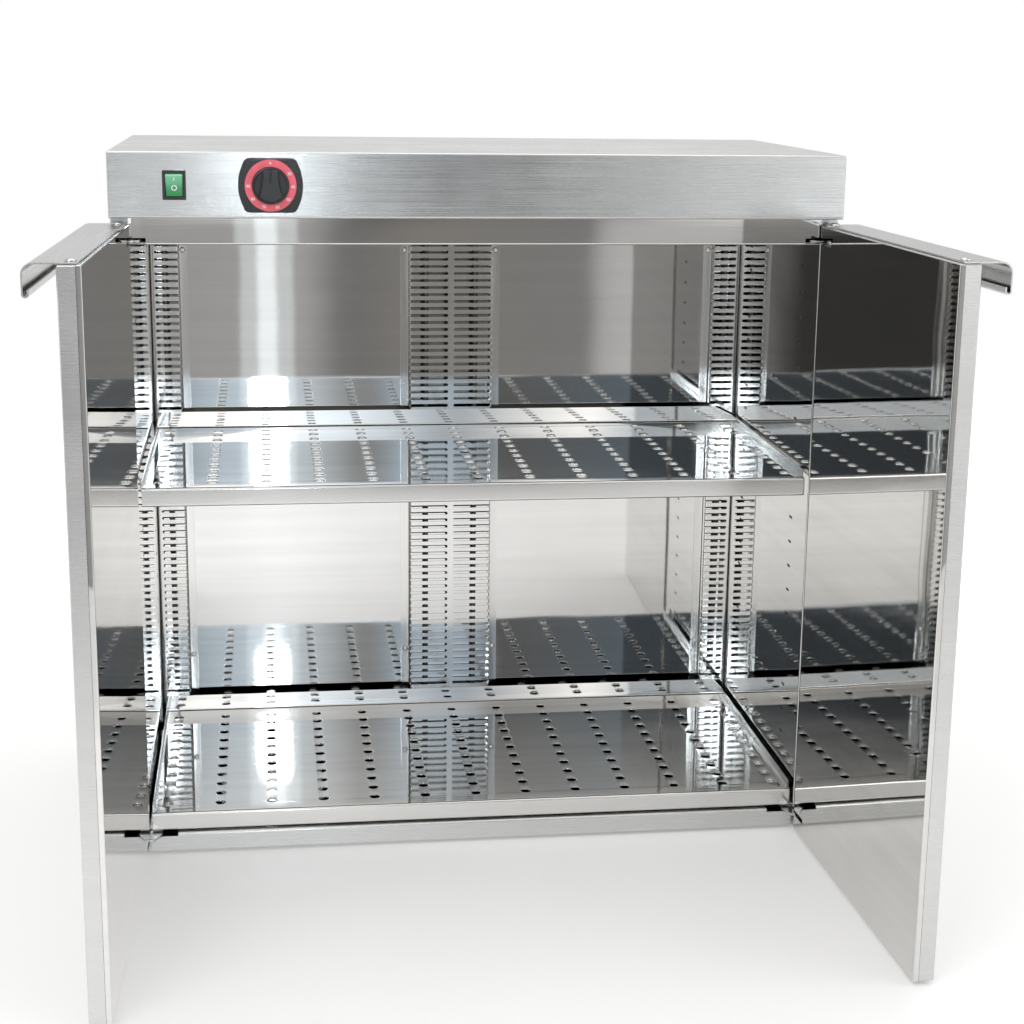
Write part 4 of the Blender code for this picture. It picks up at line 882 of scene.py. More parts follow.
def add_piece(name, mesh, body, finish, slot, *nodes):
    """Put a finished mesh in the scene, riding on its body in place of the named nodes."""
    mesh.materials.clear()
    mesh.materials.append(FINISHES[finish])
    for polygon in mesh.polygons:
        polygon.material_index = 0
    mesh = level_shading(mesh)
    mesh.name = name
    thing = bpy.data.objects.new(name, mesh)
    collection().objects.link(thing)
    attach(thing, body)
    if nodes:
        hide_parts(*nodes)


def finish_nodes(finish, *names):
    """Give a finish to pieces that stay as the frame has them."""
    for name in names:
        frame["nodes"][name].data.materials[0] = FINISHES[finish]


# Finishes

def shader_of(name):
    material = bpy.data.materials.new(name)
    material.use_nodes = True
    return material, material.node_tree, material.node_tree.nodes["Principled BSDF"]


def pattern(tree, scale, detail, on_surface):
    """Noise on the piece's own grain coordinates, or on object coordinates, stretched by the scale."""
    if on_surface:
        source = node(tree, "ShaderNodeUVMap", uv_map=GRAIN).outputs[0]
    else:
        source = node(tree, "ShaderNodeTexCoord").outputs["Object"]
    mapping = node(tree, "ShaderNodeMapping", {"Vector": source}, {"Scale": scale})
    return node(tree, "ShaderNodeTexNoise", {"Vector": mapping.outputs[0]},
                {"Scale": 1.0, "Detail": detail, "Roughness": 0.6}).outputs[0]


def spread(tree, source, low, high, start=0.3, stop=0.7):
    return node(tree, "ShaderNodeMapRange", {"Value": source},
                {"From Min": start, "From Max": stop, "To Min": low, "To Max": high}).outputs[0]


def steel(name, colour, roughness, stretch, grain=0.02, wave=0.0, on_surface=True, streak=0.06, deck=None):
    """Stainless sheet: fine grain along the rolling direction, faint clouds, and a slight waviness.

    A tray is polished from the given place along its fold path, and duller on the lip before it.
    """
    material, tree, shader = shader_of(name)
    lines = pattern(tree, (6.0, 1500.0, 1500.0), 4.0, on_surface=on_surface)
    broad = pattern(tree, (1.6, 60.0, 60.0), 3.0, on_surface=on_surface)
    clouds = pattern(tree, (7.0, 7.0, 7.0), 2.0, on_surface=on_surface)
    mixed = math_node(tree, "ADD", math_node(tree, "MULTIPLY", broad, 0.6),
                      math_node(tree, "MULTIPLY", clouds, 0.4))
    tint = node(tree, "ShaderNodeMix", {"Factor": spread(tree, mixed, 0.0, 1.0)}, data_type="RGBA")
    tint.inputs[6].default_value = (*[value * (1 - streak) for value in colour], 1)
    tint.inputs[7].default_value = (*[min(value * (1 + streak), 1) for value in colour], 1)
    tree.links.new(tint.outputs[2], shader.inputs["Base Color"])
    rough = math_node(tree, "ADD", spread(tree, lines, -0.25 * roughness, 0.3 * roughness),
                      spread(tree, clouds, roughness * 0.9, roughness * 1.15))
    if deck:
        along = node(tree, "ShaderNodeUVMap", uv_map=GRAIN).outputs[0]
        place = node(tree, "ShaderNodeSeparateXYZ", {"Vector": along}).outputs["Y"]
        rough = math_node(tree, "ADD", rough, spread(tree, place, DULL_EDGE, 0.0, deck - 0.001, deck))
    tree.links.new(rough, shader.inputs["Roughness"])
    shader.inputs["Metallic"].default_value = 1.0
    bump = node(tree, "ShaderNodeBump", {"Height": lines}, {"Strength": grain, "Distance": 0.0002})
    if wave:
        swell = pattern(tree, (5.0, 9.0, 7.0), 1.0, on_surface=on_surface)
        bump = node(tree, "ShaderNodeBump", {"Height": swell, "Normal": bump.outputs[0]},
                    {"Strength": wave, "Distance": 0.01})
    tree.links.new(bump.outputs[0], shader.inputs["Normal"])
    if on_surface and stretch:
        shader.inputs["Anisotropic"].default_value = stretch
        shader.inputs["Anisotropic Rotation"].default_value = 0.25
        tangent = node(tree, "ShaderNodeTangent", direction_type="UV_MAP", uv_map=GRAIN)
        tree.links.new(tangent.outputs[0], shader.inputs["Tangent"])
    return material


def plastic(name, colour, roughness, texture=0.15, scale=900.0, vary=0.12, mottle=60.0, upper=None):
    """Moulded plastic with a fine grain and a little unevenness in its colour.

    Another colour can take over between two heights.
    """
    material, tree, shader = shader_of(name)
    grain = pattern(tree, (scale, scale, scale), 2.0, on_surface=False)
    clouds = pattern(tree, (mottle, mottle, mottle), 2.0, on_surface=False)
    tint = node(tree, "ShaderNodeMix", {"Factor": spread(tree, clouds, 0.0, 1.0)}, data_type="RGBA")
    tint.inputs[6].default_value = (*[value * (1 - vary) for value in colour], 1)
    tint.inputs[7].default_value = (*[min(value * (1 + vary), 1) for value in colour], 1)
    if upper:
        shade, start, stop = upper
        place = node(tree, "ShaderNodeTexCoord").outputs["Object"]
        height = node(tree, "ShaderNodeSeparateXYZ", {"Vector": place}).outputs["Z"]
        share = spread(tree, height, 0.0, 1.0, start, stop)
        tint = node(tree, "ShaderNodeMix", {"Factor": share, 6: tint.outputs[2]}, {7: (*shade, 1)},
                    data_type="RGBA")
    tree.links.new(tint.outputs[2], shader.inputs["Base Color"])
    tree.links.new(spread(tree, grain, roughness * 0.9, roughness * 1.1), shader.inputs["Roughness"])
    bump = node(tree, "ShaderNodeBump", {"Height": grain}, {"Strength": texture, "Distance": 0.0001})
    tree.links.new(bump.outputs[0], shader.inputs["Normal"])
    return material


def mineral_wool(name, colour):
    """Matted fibres for the slabs in the walls."""
    material, tree, shader = shader_of(name)
    fibres = pattern(tree, (90.0, 90.0, 700.0), 5.0, on_surface=False)
    tint = node(tree, "ShaderNodeMix", {"Factor": spread(tree, fibres, 0.0, 1.0)}, data_type="RGBA")
    tint.inputs[6].default_value = (*[value * 0.6 for value in colour], 1)
    tint.inputs[7].default_value = (*colour, 1)
    tree.links.new(tint.outputs[2], shader.inputs["Base Color"])
    shader.inputs["Roughness"].default_value = 0.95
    bump = node(tree, "ShaderNodeBump", {"Height": fibres}, {"Strength": 0.6, "Distance": 0.002})
    tree.links.new(bump.outputs[0], shader.inputs["Normal"])
    return material


def tray_path(low, high, shelf, gauge):
    """Return, lip, deck and upstand of a tray, seen from its end."""
    half = gauge / 2
    deck = low.z + shelf.lip - half
    rear = high.y - half
    corners = [(low.y + shelf.lip_return, low.z + half), (low.y + half, low.z + half), (low.y + half, deck),
               (rear - shelf.lean, deck), (rear, high.z)]
    return rounded_path(corners, shelf.fold_radius, sheet_sizes().fold_steps)


def make_finishes():
    """Every finish of the cabinet, by its name in the record."""
    colours = bpy.context.scene.warmer_finish
    shelf = bpy.context.scene.warmer_shelf
    return {
        "brushed": steel("brushed_steel", colours.brushed, 0.24, grain=0.12, stretch=0.85, streak=0.03),
        "casing": steel("casing_steel", colours.brushed, 0.28, grain=0.2, stretch=0.8),
        "polished": steel("polished_steel", colours.polished, 0.024, grain=0.015, wave=0.02, stretch=0.5),
        "door_mirror": steel("door_mirror_steel", colours.polished, 0.022, grain=0.01, wave=0.02,
                             stretch=0.4),
        "tray": steel("tray_steel", colours.polished, 0.028, grain=0.02, wave=0.02, stretch=0.6,
                      deck=shelf.lip_return + shelf.lip - 0.003),
        "cover": steel("cover_steel", colours.polished, 0.11, grain=0.02, stretch=0.4),
        "bracket": steel("bracket_steel", colours.bracket, 0.18, on_surface=False, stretch=0.0),
        "sheath": steel("heater_sheath", colours.sheath, 0.45, on_surface=False, stretch=0.0, streak=0.3),
        "copper": steel("copper", colours.copper, 0.30, on_surface=False, stretch=0.0),
        "liner": steel("liner_steel", colours.polished, 0.20, on_surface=False, stretch=0.0),
        "wool": mineral_wool("mineral_wool", colours.wool),
        "black": plastic("black_plastic", colours.black, 0.42),
        "dial": plastic("dial_plastic", colours.black, 0.27, texture=0.4, scale=1600.0, vary=0.25,
                        mottle=1100.0),
        "scale": plastic("scale_red", colours.scale, 0.40, texture=0.03),
        "print": plastic("print_white", colours.print, 0.5, texture=0.0, vary=0.02),
        # The rocker turns paler green towards its top: a painted highlight
        "rocker": plastic("rocker_green", colours.rocker, 0.22, texture=0.0, vary=0.06,
                          upper=(colours.rocker_top, SWITCH_LOW.z + 0.007, SWITCH_HIGH.z - 0.005)),
        "cream": plastic("cream_plastic", colours.cream, 0.5),
        "acetal": plastic("white_plastic", colours.acetal, 0.5),
        "rubber": plastic("foot_rubber", colours.rubber, 0.7),
    }


# Operators

def folded_edge(start_z, end_z, front, span):
    """The edge of a front sheet: up or down to its end, and folded back into the cabinet."""
    sizes = sheet_sizes()
    half = sizes.gauge / 2
    turn_z = end_z - half if end_z > start_z else end_z + half
    corners = [(front + half, start_z), (front + half, turn_z), (front + sizes.return_depth, turn_z)]
    return folded(corners, span, sizes.gauge, "brushed", along_x, EDGE_FOLD, EDGE_STEPS)


class WARMER_OT_base(bpy.types.Operator):
    """Base pan with its rail, floor sheet and feet"""

    bl_idname = "warmer.base"
    bl_label = "Base"

    def execute(self, context):
        sizes = context.scene.warmer_sheet
        shell = pan(PAN_LOW, PAN_HIGH, [(0, 0, 1)], sizes.gauge, sizes.fold_radius)
        seam_z = PAN_HIGH.z - RAIL_STRIP
        edge_x = PAN_HIGH.x - sizes.fold_radius
        above_z = PAN_HIGH.z + PAST
        shell = cut(shell, [((-edge_x, PAN_LOW.y - PAST, seam_z), (edge_x, PAN_LOW.y + BITE, above_z))])
        rail = folded_edge(seam_z, PAN_HIGH.z, PAN_LOW.y, (-edge_x, edge_x))
        notches = []
        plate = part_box("hinge_plate_lower_right")[0]
        for side in SIDES.values():
            xs = sorted((side * (LINER_LOW.x - RAIL_NOTCH), side * (PAN_HIGH.x - BITE)))
            notches.append(((xs[0], PAN_LOW.y - PAST, plate.z - NOTCH_FLOOR),
                            (xs[1], PAN_LOW.y + sizes.return_depth + PAST, above_z)))
        shell = joined(cut(shell, notches), cut(rail, notches))
        add_piece("base_shell", project_grain(shell), "cabinet", "brushed", "casing", "base_pan")
        floor_low, floor_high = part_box("base_floor")
        floor_low.y += sizes.return_depth + PAST
        floor = soft_box(floor_low, floor_high, 0.0003, 2)
        add_piece("floor_sheet", floor, "cabinet", "polished", "polished", "base_floor")
        for label in SIDES:
            for place in ("front", "rear"):
                low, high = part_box("foot_%s_%s" % (place, label))
                radius = (high.x - low.x) / 2
                centre = Vector(((low.x + high.x) / 2, (low.y + high.y) / 2, low.z))
                height = high.z - low.z
                profile = [(0, 0), (radius - 0.0025, 0), (radius - 0.0008, 0.0006), (radius, 0.002),
                           (radius, height), (0, height)]
                foot = turned(profile, centre, 32)
                add_piece("rubber_foot_%s_%s" % (place, label), foot, "cabinet", "rubber",
                          "foot_plastic", "foot_%s_%s" % (place, label))
        return {"FINISHED"}


class WARMER_OT_walls(bpy.types.Operator):
    """Side casings, back panel, liners with their hook slots, and the header strip"""

    bl_idname = "warmer.walls"
    bl_label = "Walls"

    def execute(self, context):
        sizes = context.scene.warmer_sheet
        slots = context.scene.warmer_slots
        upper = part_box("hinge_plate_upper_right")
        slot_z = (LINER_HIGH.z, upper[1].z + PLATE_GAP)
        for label, side in SIDES.items():
            low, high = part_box("side_casing_" + label)
            inner = min(abs(low.x), abs(high.x))
            outer = max(abs(low.x), abs(high.x)) - sizes.gauge / 2
            front = low.y + sizes.gauge / 2
            corners = [(side * inner, front), (side * outer, front), (side * outer, high.y)]
            casing = folded(corners, (low.z, high.z), sizes.gauge, "casing", along_z, grain_across=True)
            xs = sorted((side * (inner - PAST), side * (outer - 0.001)))
            casing = cut(casing, [((xs[0], low.y - PAST, slot_z[0]), (xs[1], low.y + PAST, slot_z[1]))])
            add_piece("casing_" + label, casing, "cabinet", "casing", "casing", "side_casing_" + label)
            self.liner(label, slots)
        low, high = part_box("back_panel")
        back = soft_box(low, high, 0.0004, 2)
        add_piece("rear_panel", back, "cabinet", "casing", "casing", "back_panel")
        self.header(sizes, slot_z)
        self.inner_back(sizes)
        return {"FINISHED"}

    def liner(self, label, slots):
        low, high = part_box("side_liner_" + label)
        gauge = high.x - low.x
        height = high.z - low.z
        rows = slots.hook_rear - slots.hook_front
        first_z = slots.hook_first - (low.z + high.z) / 2
        sheet = flat_sheet(high.y - low.y, height, gauge, "polished", **{
            "Hole Length": slots.hook_length, "Hole Width": slots.hook_height, "Columns": 2,
            "Rows": slots.hook_count, "Pitch X": rows, "Pitch Y": slots.hook_pitch,
            "First X": slots.hook_front, "First Y": first_z})
        path = [Vector((low.y, (low.x + high.x) / 2)), Vector((high.y, (low.x + high.x) / 2))]
        middle = (low.z + high.z) / 2
        fold_sheet(sheet, path, lambda a, b, w: Vector((b, a, w + middle)), grain_across=True)
        bead = sheet_sizes().bead
        rolls = []
        for bottom, top in ((low.z, high.z), (plate_heights("upper")[1] + PAST, HEADER_HIGH.z)):
            spot = (low.x + high.x) / 2, low.y + bead
            rolls.append(tube_mesh([(*spot, bottom), (*spot, top)], bead, 24))
        add_piece("wall_liner_" + label, joined(sheet, *rolls), "cabinet", "polished", "polished",
                  "side_liner_" + label)

    def header(self, sizes, slot_z):
        low, high = HEADER_LOW, HEADER_HIGH
        half = sizes.gauge / 2
        corners = [(low.y + half, high.z), (low.y + half, low.z + half), (high.y, low.z + half)]
        strip = folded(corners, (low.x, high.x), sizes.gauge, "polished", along_x)
        boxes = []
        inwards, outwards = HEADER_NOTCH
        for side in SIDES.values():
            xs = sorted((side * (LINER_LOW.x - inwards), side * (LINER_LOW.x + outwards)))
            boxes.append(((xs[0], low.y - PAST, slot_z[0]), (xs[1], low.y + PAST, slot_z[1])))
        strip = cut(strip, boxes)
        add_piece("header_front", strip, "cabinet", "polished", "polished", "header_strip")

    def inner_back(self, sizes):
        low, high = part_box("back_and_ceiling_liner")
        half = sizes.liner_gauge / 2
        corners = [(low.y, high.z - half), (high.y - half, high.z - half), (high.y - half, low.z)]
        sheet = folded(corners, (low.x, high.x), sizes.liner_gauge, "polished", along_x)
        add_piece("rear_and_roof_liner", sheet, "cabinet", "polished", "polished",
                  "back_and_ceiling_liner")


class WARMER_OT_heaters(bpy.types.Operator):
    """Slotted covers with their screws, and the rods behind them"""

    bl_idname = "warmer.heaters"
    bl_label = "Heaters"

    def execute(self, context):
        sizes = context.scene.warmer_sheet
        slots = context.scene.warmer_slots
        gauge = sizes.liner_gauge
        bottom, top = COLUMN_LOW.z, COLUMN_HIGH.z
        middle = (bottom + top) / 2
        first = top - FIRST_VENT - slots.vent_pitch * (slots.vent_count - 1) - middle
        face = COLUMN_LOW.y + gauge / 2
        wall = COLUMN_HIGH.y - gauge / 2
        tip = COLUMN_HIGH.x
        web = tip - slots.flange - gauge / 2
        corners = [(-tip, wall), (-web, wall), (-web, face), (web, face), (web, wall), (tip, wall)]
        points = rounded_path(corners, sizes.fold_radius, sizes.fold_steps)
        whole = path_lengths(points)[-1]
        length = web + slots.wrap - slots.bridge / 2
        sheet = flat_sheet(whole, top - bottom, gauge, "polished", **{
            "Hole Length": length, "Hole Width": slots.vent_height, "Columns": 2, "Rows": slots.vent_count,
            "Pitch X": length + slots.bridge, "Pitch Y": slots.vent_pitch,
            "First X": whole / 2 - (length + slots.bridge) / 2, "First Y": first})
        fold_sheet(sheet, points, lambda a, b, w: Vector((a, b, w + middle)))
        add_piece("heater_cover_middle", sheet, "cabinet", "cover", "polished", "column_cover_middle")
        for label, side in SIDES.items():
            self.corner_cover(label, side, slots, gauge, (bottom, top), (face, wall), first)
        self.rods()
        self.screws(wall - gauge / 2)
        return {"FINISHED"}

    def corner_cover(self, label, side, slots, gauge, heights, depths, first):
        sizes = sheet_sizes()
        face, wall = depths
        middle = (heights[0] + heights[1]) / 2
        outer = CORNER_HIGH.x - gauge / 2
        tip = CORNER_LOW.x
        inner = tip + slots.flange
        corners = [(outer, wall), (outer, face), (inner, face), (inner, wall), (tip, wall)]
        points = rounded_path([(side * x, y) for x, y in corners], sizes.fold_radius, sizes.fold_steps)
        whole = path_lengths(points)[-1]
        start = wall - face
        length = (outer - inner) + slots.wrap - slots.corner_bridge
        sheet = flat_sheet(whole, heights[1] - heights[0], gauge, "polished", **{
            "Hole Length": length, "Hole Width": slots.vent_height, "Columns": 1, "Rows": slots.vent_count,
            "Pitch X": 0.01, "Pitch Y": slots.vent_pitch,
            "First X": start + slots.corner_bridge - sizes.fold_radius * FOLD_SHARE + length / 2,
            "First Y": first})
        fold_sheet(sheet, points, lambda a, b, w: Vector((a, b, w + middle)))
        add_piece("heater_cover_" + label, sheet, "cabinet", "cover", "polished",
                  "column_cover_" + label)

    def rods(self):
        for name in ("heater_left", "heater_right"):
            low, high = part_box(name)
            centre = (low + high) / 2
            radius = (high.x - low.x) / 2
            points = [(centre.x, centre.y, high.z), (centre.x, centre.y, low.z)]
            add_piece("rod_" + name, tube_mesh(points, radius), "cabinet", "sheath", "heater", name)
        # The middle rod is bent from the same tube
        low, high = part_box("heater_middle")
        centre = (low + high) / 2
        spread_x = high.x - radius
        bend_z = low.z + radius + spread_x
        bend = arc(spread_x, math.pi, math.pi, 24, (0.0, bend_z))
        outline = [(-spread_x, high.z), *bend, (spread_x, high.z)]
        rod = tube_mesh([(x, centre.y, z) for x, z in outline], radius)
        add_piece("rod_middle", rod, "cabinet", "sheath", "heater", "heater_middle")

    def screws(self, seat):
        places = []
        for z in COVER_SCREW_HEIGHTS:
            for side in SIDES.values():
                places.append((side * (COLUMN_HIGH.x - COLUMN_SCREW), seat, z))
                places.append((side * (CORNER_LOW.x + CORNER_SCREW), seat, z))
        mesh = screw_heads(places, (math.radians(90), 0, 0), COVER_SCREW)
        add_piece("cover_screws", mesh, "cabinet", "bracket", "bracket")


class WARMER_OT_shelves(bpy.types.Operator):
    """Both perforated trays"""

    bl_idname = "warmer.shelves"
    bl_label = "Shelves"

    def execute(self, context):
        sizes = context.scene.warmer_sheet
        shelf = context.scene.warmer_shelf
        for name, body, low, high in (("middle_shelf", "shelf_middle", SHELF_LOW, SHELF_HIGH),
                                      ("lower_shelf", "shelf_lower", TRAY_LOW, TRAY_HIGH)):
            self.tray(name, body, low, high, sizes, shelf)
        for label in SIDES:
            finish_nodes("bracket", "shelf_runner_" + label, "shelf_clip_front_" + label,
                         "shelf_clip_rear_" + label)
        return {"FINISHED"}

    def tray(self, name, body, low, high, sizes, shelf):
        gauge = sizes.gauge
        half = gauge / 2
        deck = low.z + shelf.lip - half
        points = tray_path(low, high, shelf, gauge)
        whole = path_lengths(points)[-1]
        rear_fold = whole - (shelf.upstand + half) + shelf.fold_radius * HALF_FOLD_SHARE
        first_row = rear_fold - shelf.rear_margin
        width = high.x - low.x
        sheet = tree_mesh(TREES["drilled"], {
            "Width": whole, "Height": width, "Thickness": gauge, "Radius": shelf.hole_diameter / 2,
            "Rim": shelf.hole_rim, "Columns": shelf.rows, "Rows": shelf.columns, "Pitch X": -shelf.pitch_y,
            "Pitch Y": shelf.pitch_x, "First X": first_row - whole / 2,
            "First Y": -shelf.pitch_x * (shelf.columns - 1) / 2, "Finish": FINISHES["tray"]})
        sheet.transform(Matrix.Translation((whole / 2, 0, half)))
        fold_sheet(sheet, points, along_x)
        sides = []
        seat = deck + sizes.seam / 2
        for side in SIDES.values():
            edge = side * (high.x - half)
            corners = [(edge - side * shelf.fold_radius * 1.5, seat), (edge, seat),
                       (edge, deck + half + shelf.side_upstand)]
            sides.append(folded(corners, (low.y + shelf.side_setback, high.y - shelf.fold_radius), gauge,
                                "tray", along_y, shelf.fold_radius, 5))
        add_piece(name + "_tray", joined(sheet, *sides), body, "tray", "polished", name)


def door_matrix(label):
    """From a door's closed, pin-centred position to where it stands."""
    x, y = JOINTS["door_%s_hinge" % label]["pos_m"][:2]
    return Matrix.Translation((x, y, 0)) @ Matrix.Rotation(SIDES[label] * DOOR_REST_ANGLE, 4, "Z")


class WARMER_OT_doors(bpy.types.Operator):
    """Outer and inner pans of both doors, with pulls, screws and hinges"""

    bl_idname = "warmer.doors"
    bl_label = "Doors"

    def execute(self, context):
        for label, side in SIDES.items():
            self.leaf(label, side, context.scene.warmer_door, context.scene.warmer_sheet)
            self.pull(label, side, context.scene.warmer_door)
            self.hinges(label, side)
            finish_nodes("acetal", "door_bearing_lower_" + label, "door_bearing_upper_" + label)
        return {"FINISHED"}

    def span(self, side, start, stop):
        return sorted((-side * start, -side * stop))

    def leaf(self, label, side, door, sizes):
        half = door.thickness / 2
        xs = self.span(side, -door.setback, door.width - door.setback)
        fold = half - door.inner_return
        outer = pan((xs[0], -half, door.bottom), (xs[1], fold, door.top), [(0, 1, 0)], sizes.liner_gauge,
                    sizes.fold_radius)
        inner = pan((xs[0], fold + sizes.seam, door.bottom), (xs[1], half, door.top), [(0, -1, 0)],
                    sizes.liner_gauge, 0.0014, 3)
        notch_x = self.span(side, -door.setback - PAST, DOOR_NOTCH)
        boxes = []
        for place in ("lower", "upper"):
            plate_z = plate_heights(place)
            boxes.append(((notch_x[0], -half + BITE, plate_z[0] - PLATE_GAP),
                          (notch_x[1], half + PAST, plate_z[1] + PLATE_GAP)))
        matrix = door_matrix(label)
        for name, mesh, finish, slot in (("outer", outer, "brushed", "brushed"),
                                         ("inner", inner, "door_mirror", "polished")):
            mesh = cut(mesh, boxes)
            mesh.transform(matrix)
            add_piece("door_%s_skin_%s" % (name, label), mesh, "door_" + label, finish, slot,
                      "door_%s_%s" % (name, label))

    def pull(self, label, side, door):
        gauge = door.handle_gauge
        half = door.thickness / 2
        seam = sheet_sizes().seam
        top = door.top + seam + gauge / 2
        out = -half - door.handle_reach + gauge / 2
        foot = top + gauge / 2 - door.handle_drop + door.handle_hem
        bend, hem = door.handle_bend, door.handle_hem
        shape = [(half - door.handle_setback, top)]
        shape += arc(bend, math.pi / 2, math.pi / 2, 12, (out + bend, top - bend))
        shape += arc(hem, math.pi, math.pi, 12, (out + hem, foot))
        shape.append((out + hem * 2, foot + HEM_TAIL))
        points = [Vector(spot) for spot in shape]
        xs = self.span(side, -door.setback, door.width - door.setback)
        sheet = flat_sheet(path_lengths(points)[-1], xs[1] - xs[0], gauge, "brushed")
        middle = (xs[0] + xs[1]) / 2
        fold_sheet(sheet, points, lambda a, b, w: Vector((w + middle, a, b)))
        matrix = door_matrix(label)
        sheet.transform(matrix)
        add_piece("door_pull_" + label, sheet, "door_" + label, "brushed", "brushed",
                  "door_handle_" + label)
        seat = top + gauge / 2
        free = door.width - door.setback - FREE_SCREW
        for place, along in (("hinge", HINGE_SCREW), ("free", free)):
            spot = matrix @ Vector((-side * along, 0.0, seat + seam))
            mesh = screw_heads([spot], (0, 0, 0.5 * side), HANDLE_SCREW)
            tip_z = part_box("handle_screw_%s_%s" % (place, label))[0].z
            neck_z = spot.z + HEAD_SINK
            profile = [(0, tip_z), (SHANK * 0.7, tip_z), (SHANK, tip_z + SHANK_TAPER), (SHANK, neck_z),
                       (0, neck_z)]
            shank = turned(profile, (spot.x, spot.y, 0), 16)
            screw = joined(mesh, shank)
            add_piece("pull_screw_%s_%s" % (place, label), screw, "door_" + label, "bracket", "bracket",
                      "handle_screw_%s_%s" % (place, label))

    def hinges(self, label, side):
        x, y = JOINTS["door_%s_hinge" % label]["pos_m"][:2]
        for place, reach in (("lower", 1), ("upper", -1)):
            low, high = plate_heights(place)
            name = "hinge_plate_%s_%s" % (place, label)
            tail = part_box(name)[1].y - y
            ear = arc(EAR, math.radians(200), math.radians(140), 12)
            shape = [(-0.0245, tail), (-0.0245, 0.012), (-0.0155, -0.0025), *ear, (0.0055, EAR),
                     (0.0055, tail)]
            outline = [(x + side * a, y + b) for a, b in shape]
            plate = slab(outline, low, high, 0.0004)
            start = high if reach > 0 else low
            shape = [(0, 0), (PIN_COLLAR, 0), (PIN_COLLAR, 0.0014), (PIN, 0.0015), (PIN, PIN_LENGTH - 0.0022),
                     (PIN * 0.8, PIN_LENGTH - 0.0013), (0, PIN_LENGTH - 0.0013)]
            profile = [(radius, reach * height) for radius, height in shape]
            pin = turned(profile, (x, y, start), 24)
            add_piece("hinge_%s_%s" % (place, label), joined(plate, pin), "cabinet", "bracket",
                      "bracket", name)


def plate_heights(place):
    """The lower and upper face of a hinge plate, without its pin."""
    low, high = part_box("hinge_plate_%s_right" % place)
    return (low.z, low.z + PLATE_GAUGE) if place == "lower" else (high.z - PLATE_GAUGE, high.z)


class WARMER_OT_head(bpy.types.Operator):
    """Control head: cover and tray"""

    bl_idname = "warmer.head"
    bl_label = "Head"

    def execute(self, context):
        sizes = context.scene.warmer_sheet
        cover = pan(HEAD_LOW, HEAD_HIGH, [(0, 0, -1), (0, 1, 0)], sizes.gauge, EDGE_FOLD, 4)
        control_z = (HEAD_LOW.z + HEAD_HIGH.z) / 2
        switch_x = (SWITCH_LOW.x + SWITCH_HIGH.x) / 2
        dial_x = (DIAL_LOW.x + DIAL_HIGH.x) / 2
        boxes = []
        for x, (half_x, half_z) in ((switch_x, SWITCH_OPENING), (dial_x, SHAFT_OPENING)):
            boxes.append(((x - half_x, HEAD_LOW.y - PAST, control_z - half_z),
                          (x + half_x, HEAD_LOW.y + 2 * PAST, control_z + half_z)))
        seam_z = HEAD_LOW.z + HEAD_STRIP
        edge_x = HEAD_HIGH.x - EDGE_FOLD
        boxes.append(((-edge_x, HEAD_LOW.y - PAST, HEAD_LOW.z - PAST), (edge_x, HEAD_LOW.y + BITE, seam_z)))
        lower_edge = folded_edge(seam_z, HEAD_LOW.z, HEAD_LOW.y, (-edge_x, edge_x))
        cover = joined(cut(cover, boxes), lower_edge)
        add_piece("head_shell", project_grain(cover), "cabinet", "brushed", "brushed", "head_cover")
        low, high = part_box("head_tray")
        half = sizes.gauge / 2
        low.z += sizes.gauge + sizes.seam
        corners = [(low.y, low.z + half), (high.y - half, low.z + half), (high.y - half, high.z)]
        tray = folded(corners, (low.x, high.x), sizes.gauge, "brushed", along_x)
        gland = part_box("cable_gland")
        x = (gland[0].x + gland[1].x) / 2
        tray = cut(tray, [((x - GLAND_HOLE, high.y - 1.5 * PAST, control_z - GLAND_HOLE),
                           (x + GLAND_HOLE, high.y + 1.5 * PAST, control_z + GLAND_HOLE))])
        add_piece("head_tray_sheet", tray, "cabinet", "brushed", "brushed", "head_tray")
        self.cable_gland(x, control_z, gland, high.y)
        finish_nodes("cream", "terminal_block", "thermostat_body")
        finish_nodes("copper", "thermostat_sensor")
        finish_nodes("wool", "insulation_left", "insulation_right", "insulation_top")
        return {"FINISHED"}

    def cable_gland(self, x, z, box, wall):
        low, high = box
        hexagon = slab(arc(NUT, 0.0, math.tau, 6)[:-1], 0, 0.008, 0.0008, 2)
        hexagon.transform(facing_front(x, wall + 0.0083, z))
        outside = high.y - wall
        profile = [(0.004, low.y - wall), (0.0095, low.y - wall), (0.0095, outside - 0.005),
                   (0.0088, outside - 0.002), (0.0065, outside), (0.004, outside), (0.004, low.y - wall)]
        sleeve = turned([(r, -h) for r, h in profile], (x, wall, z), 32, "Y")
        add_piece("gland_body", joined(hexagon, sleeve), "cabinet", "black", "black_plastic",
                  "cable_gland")


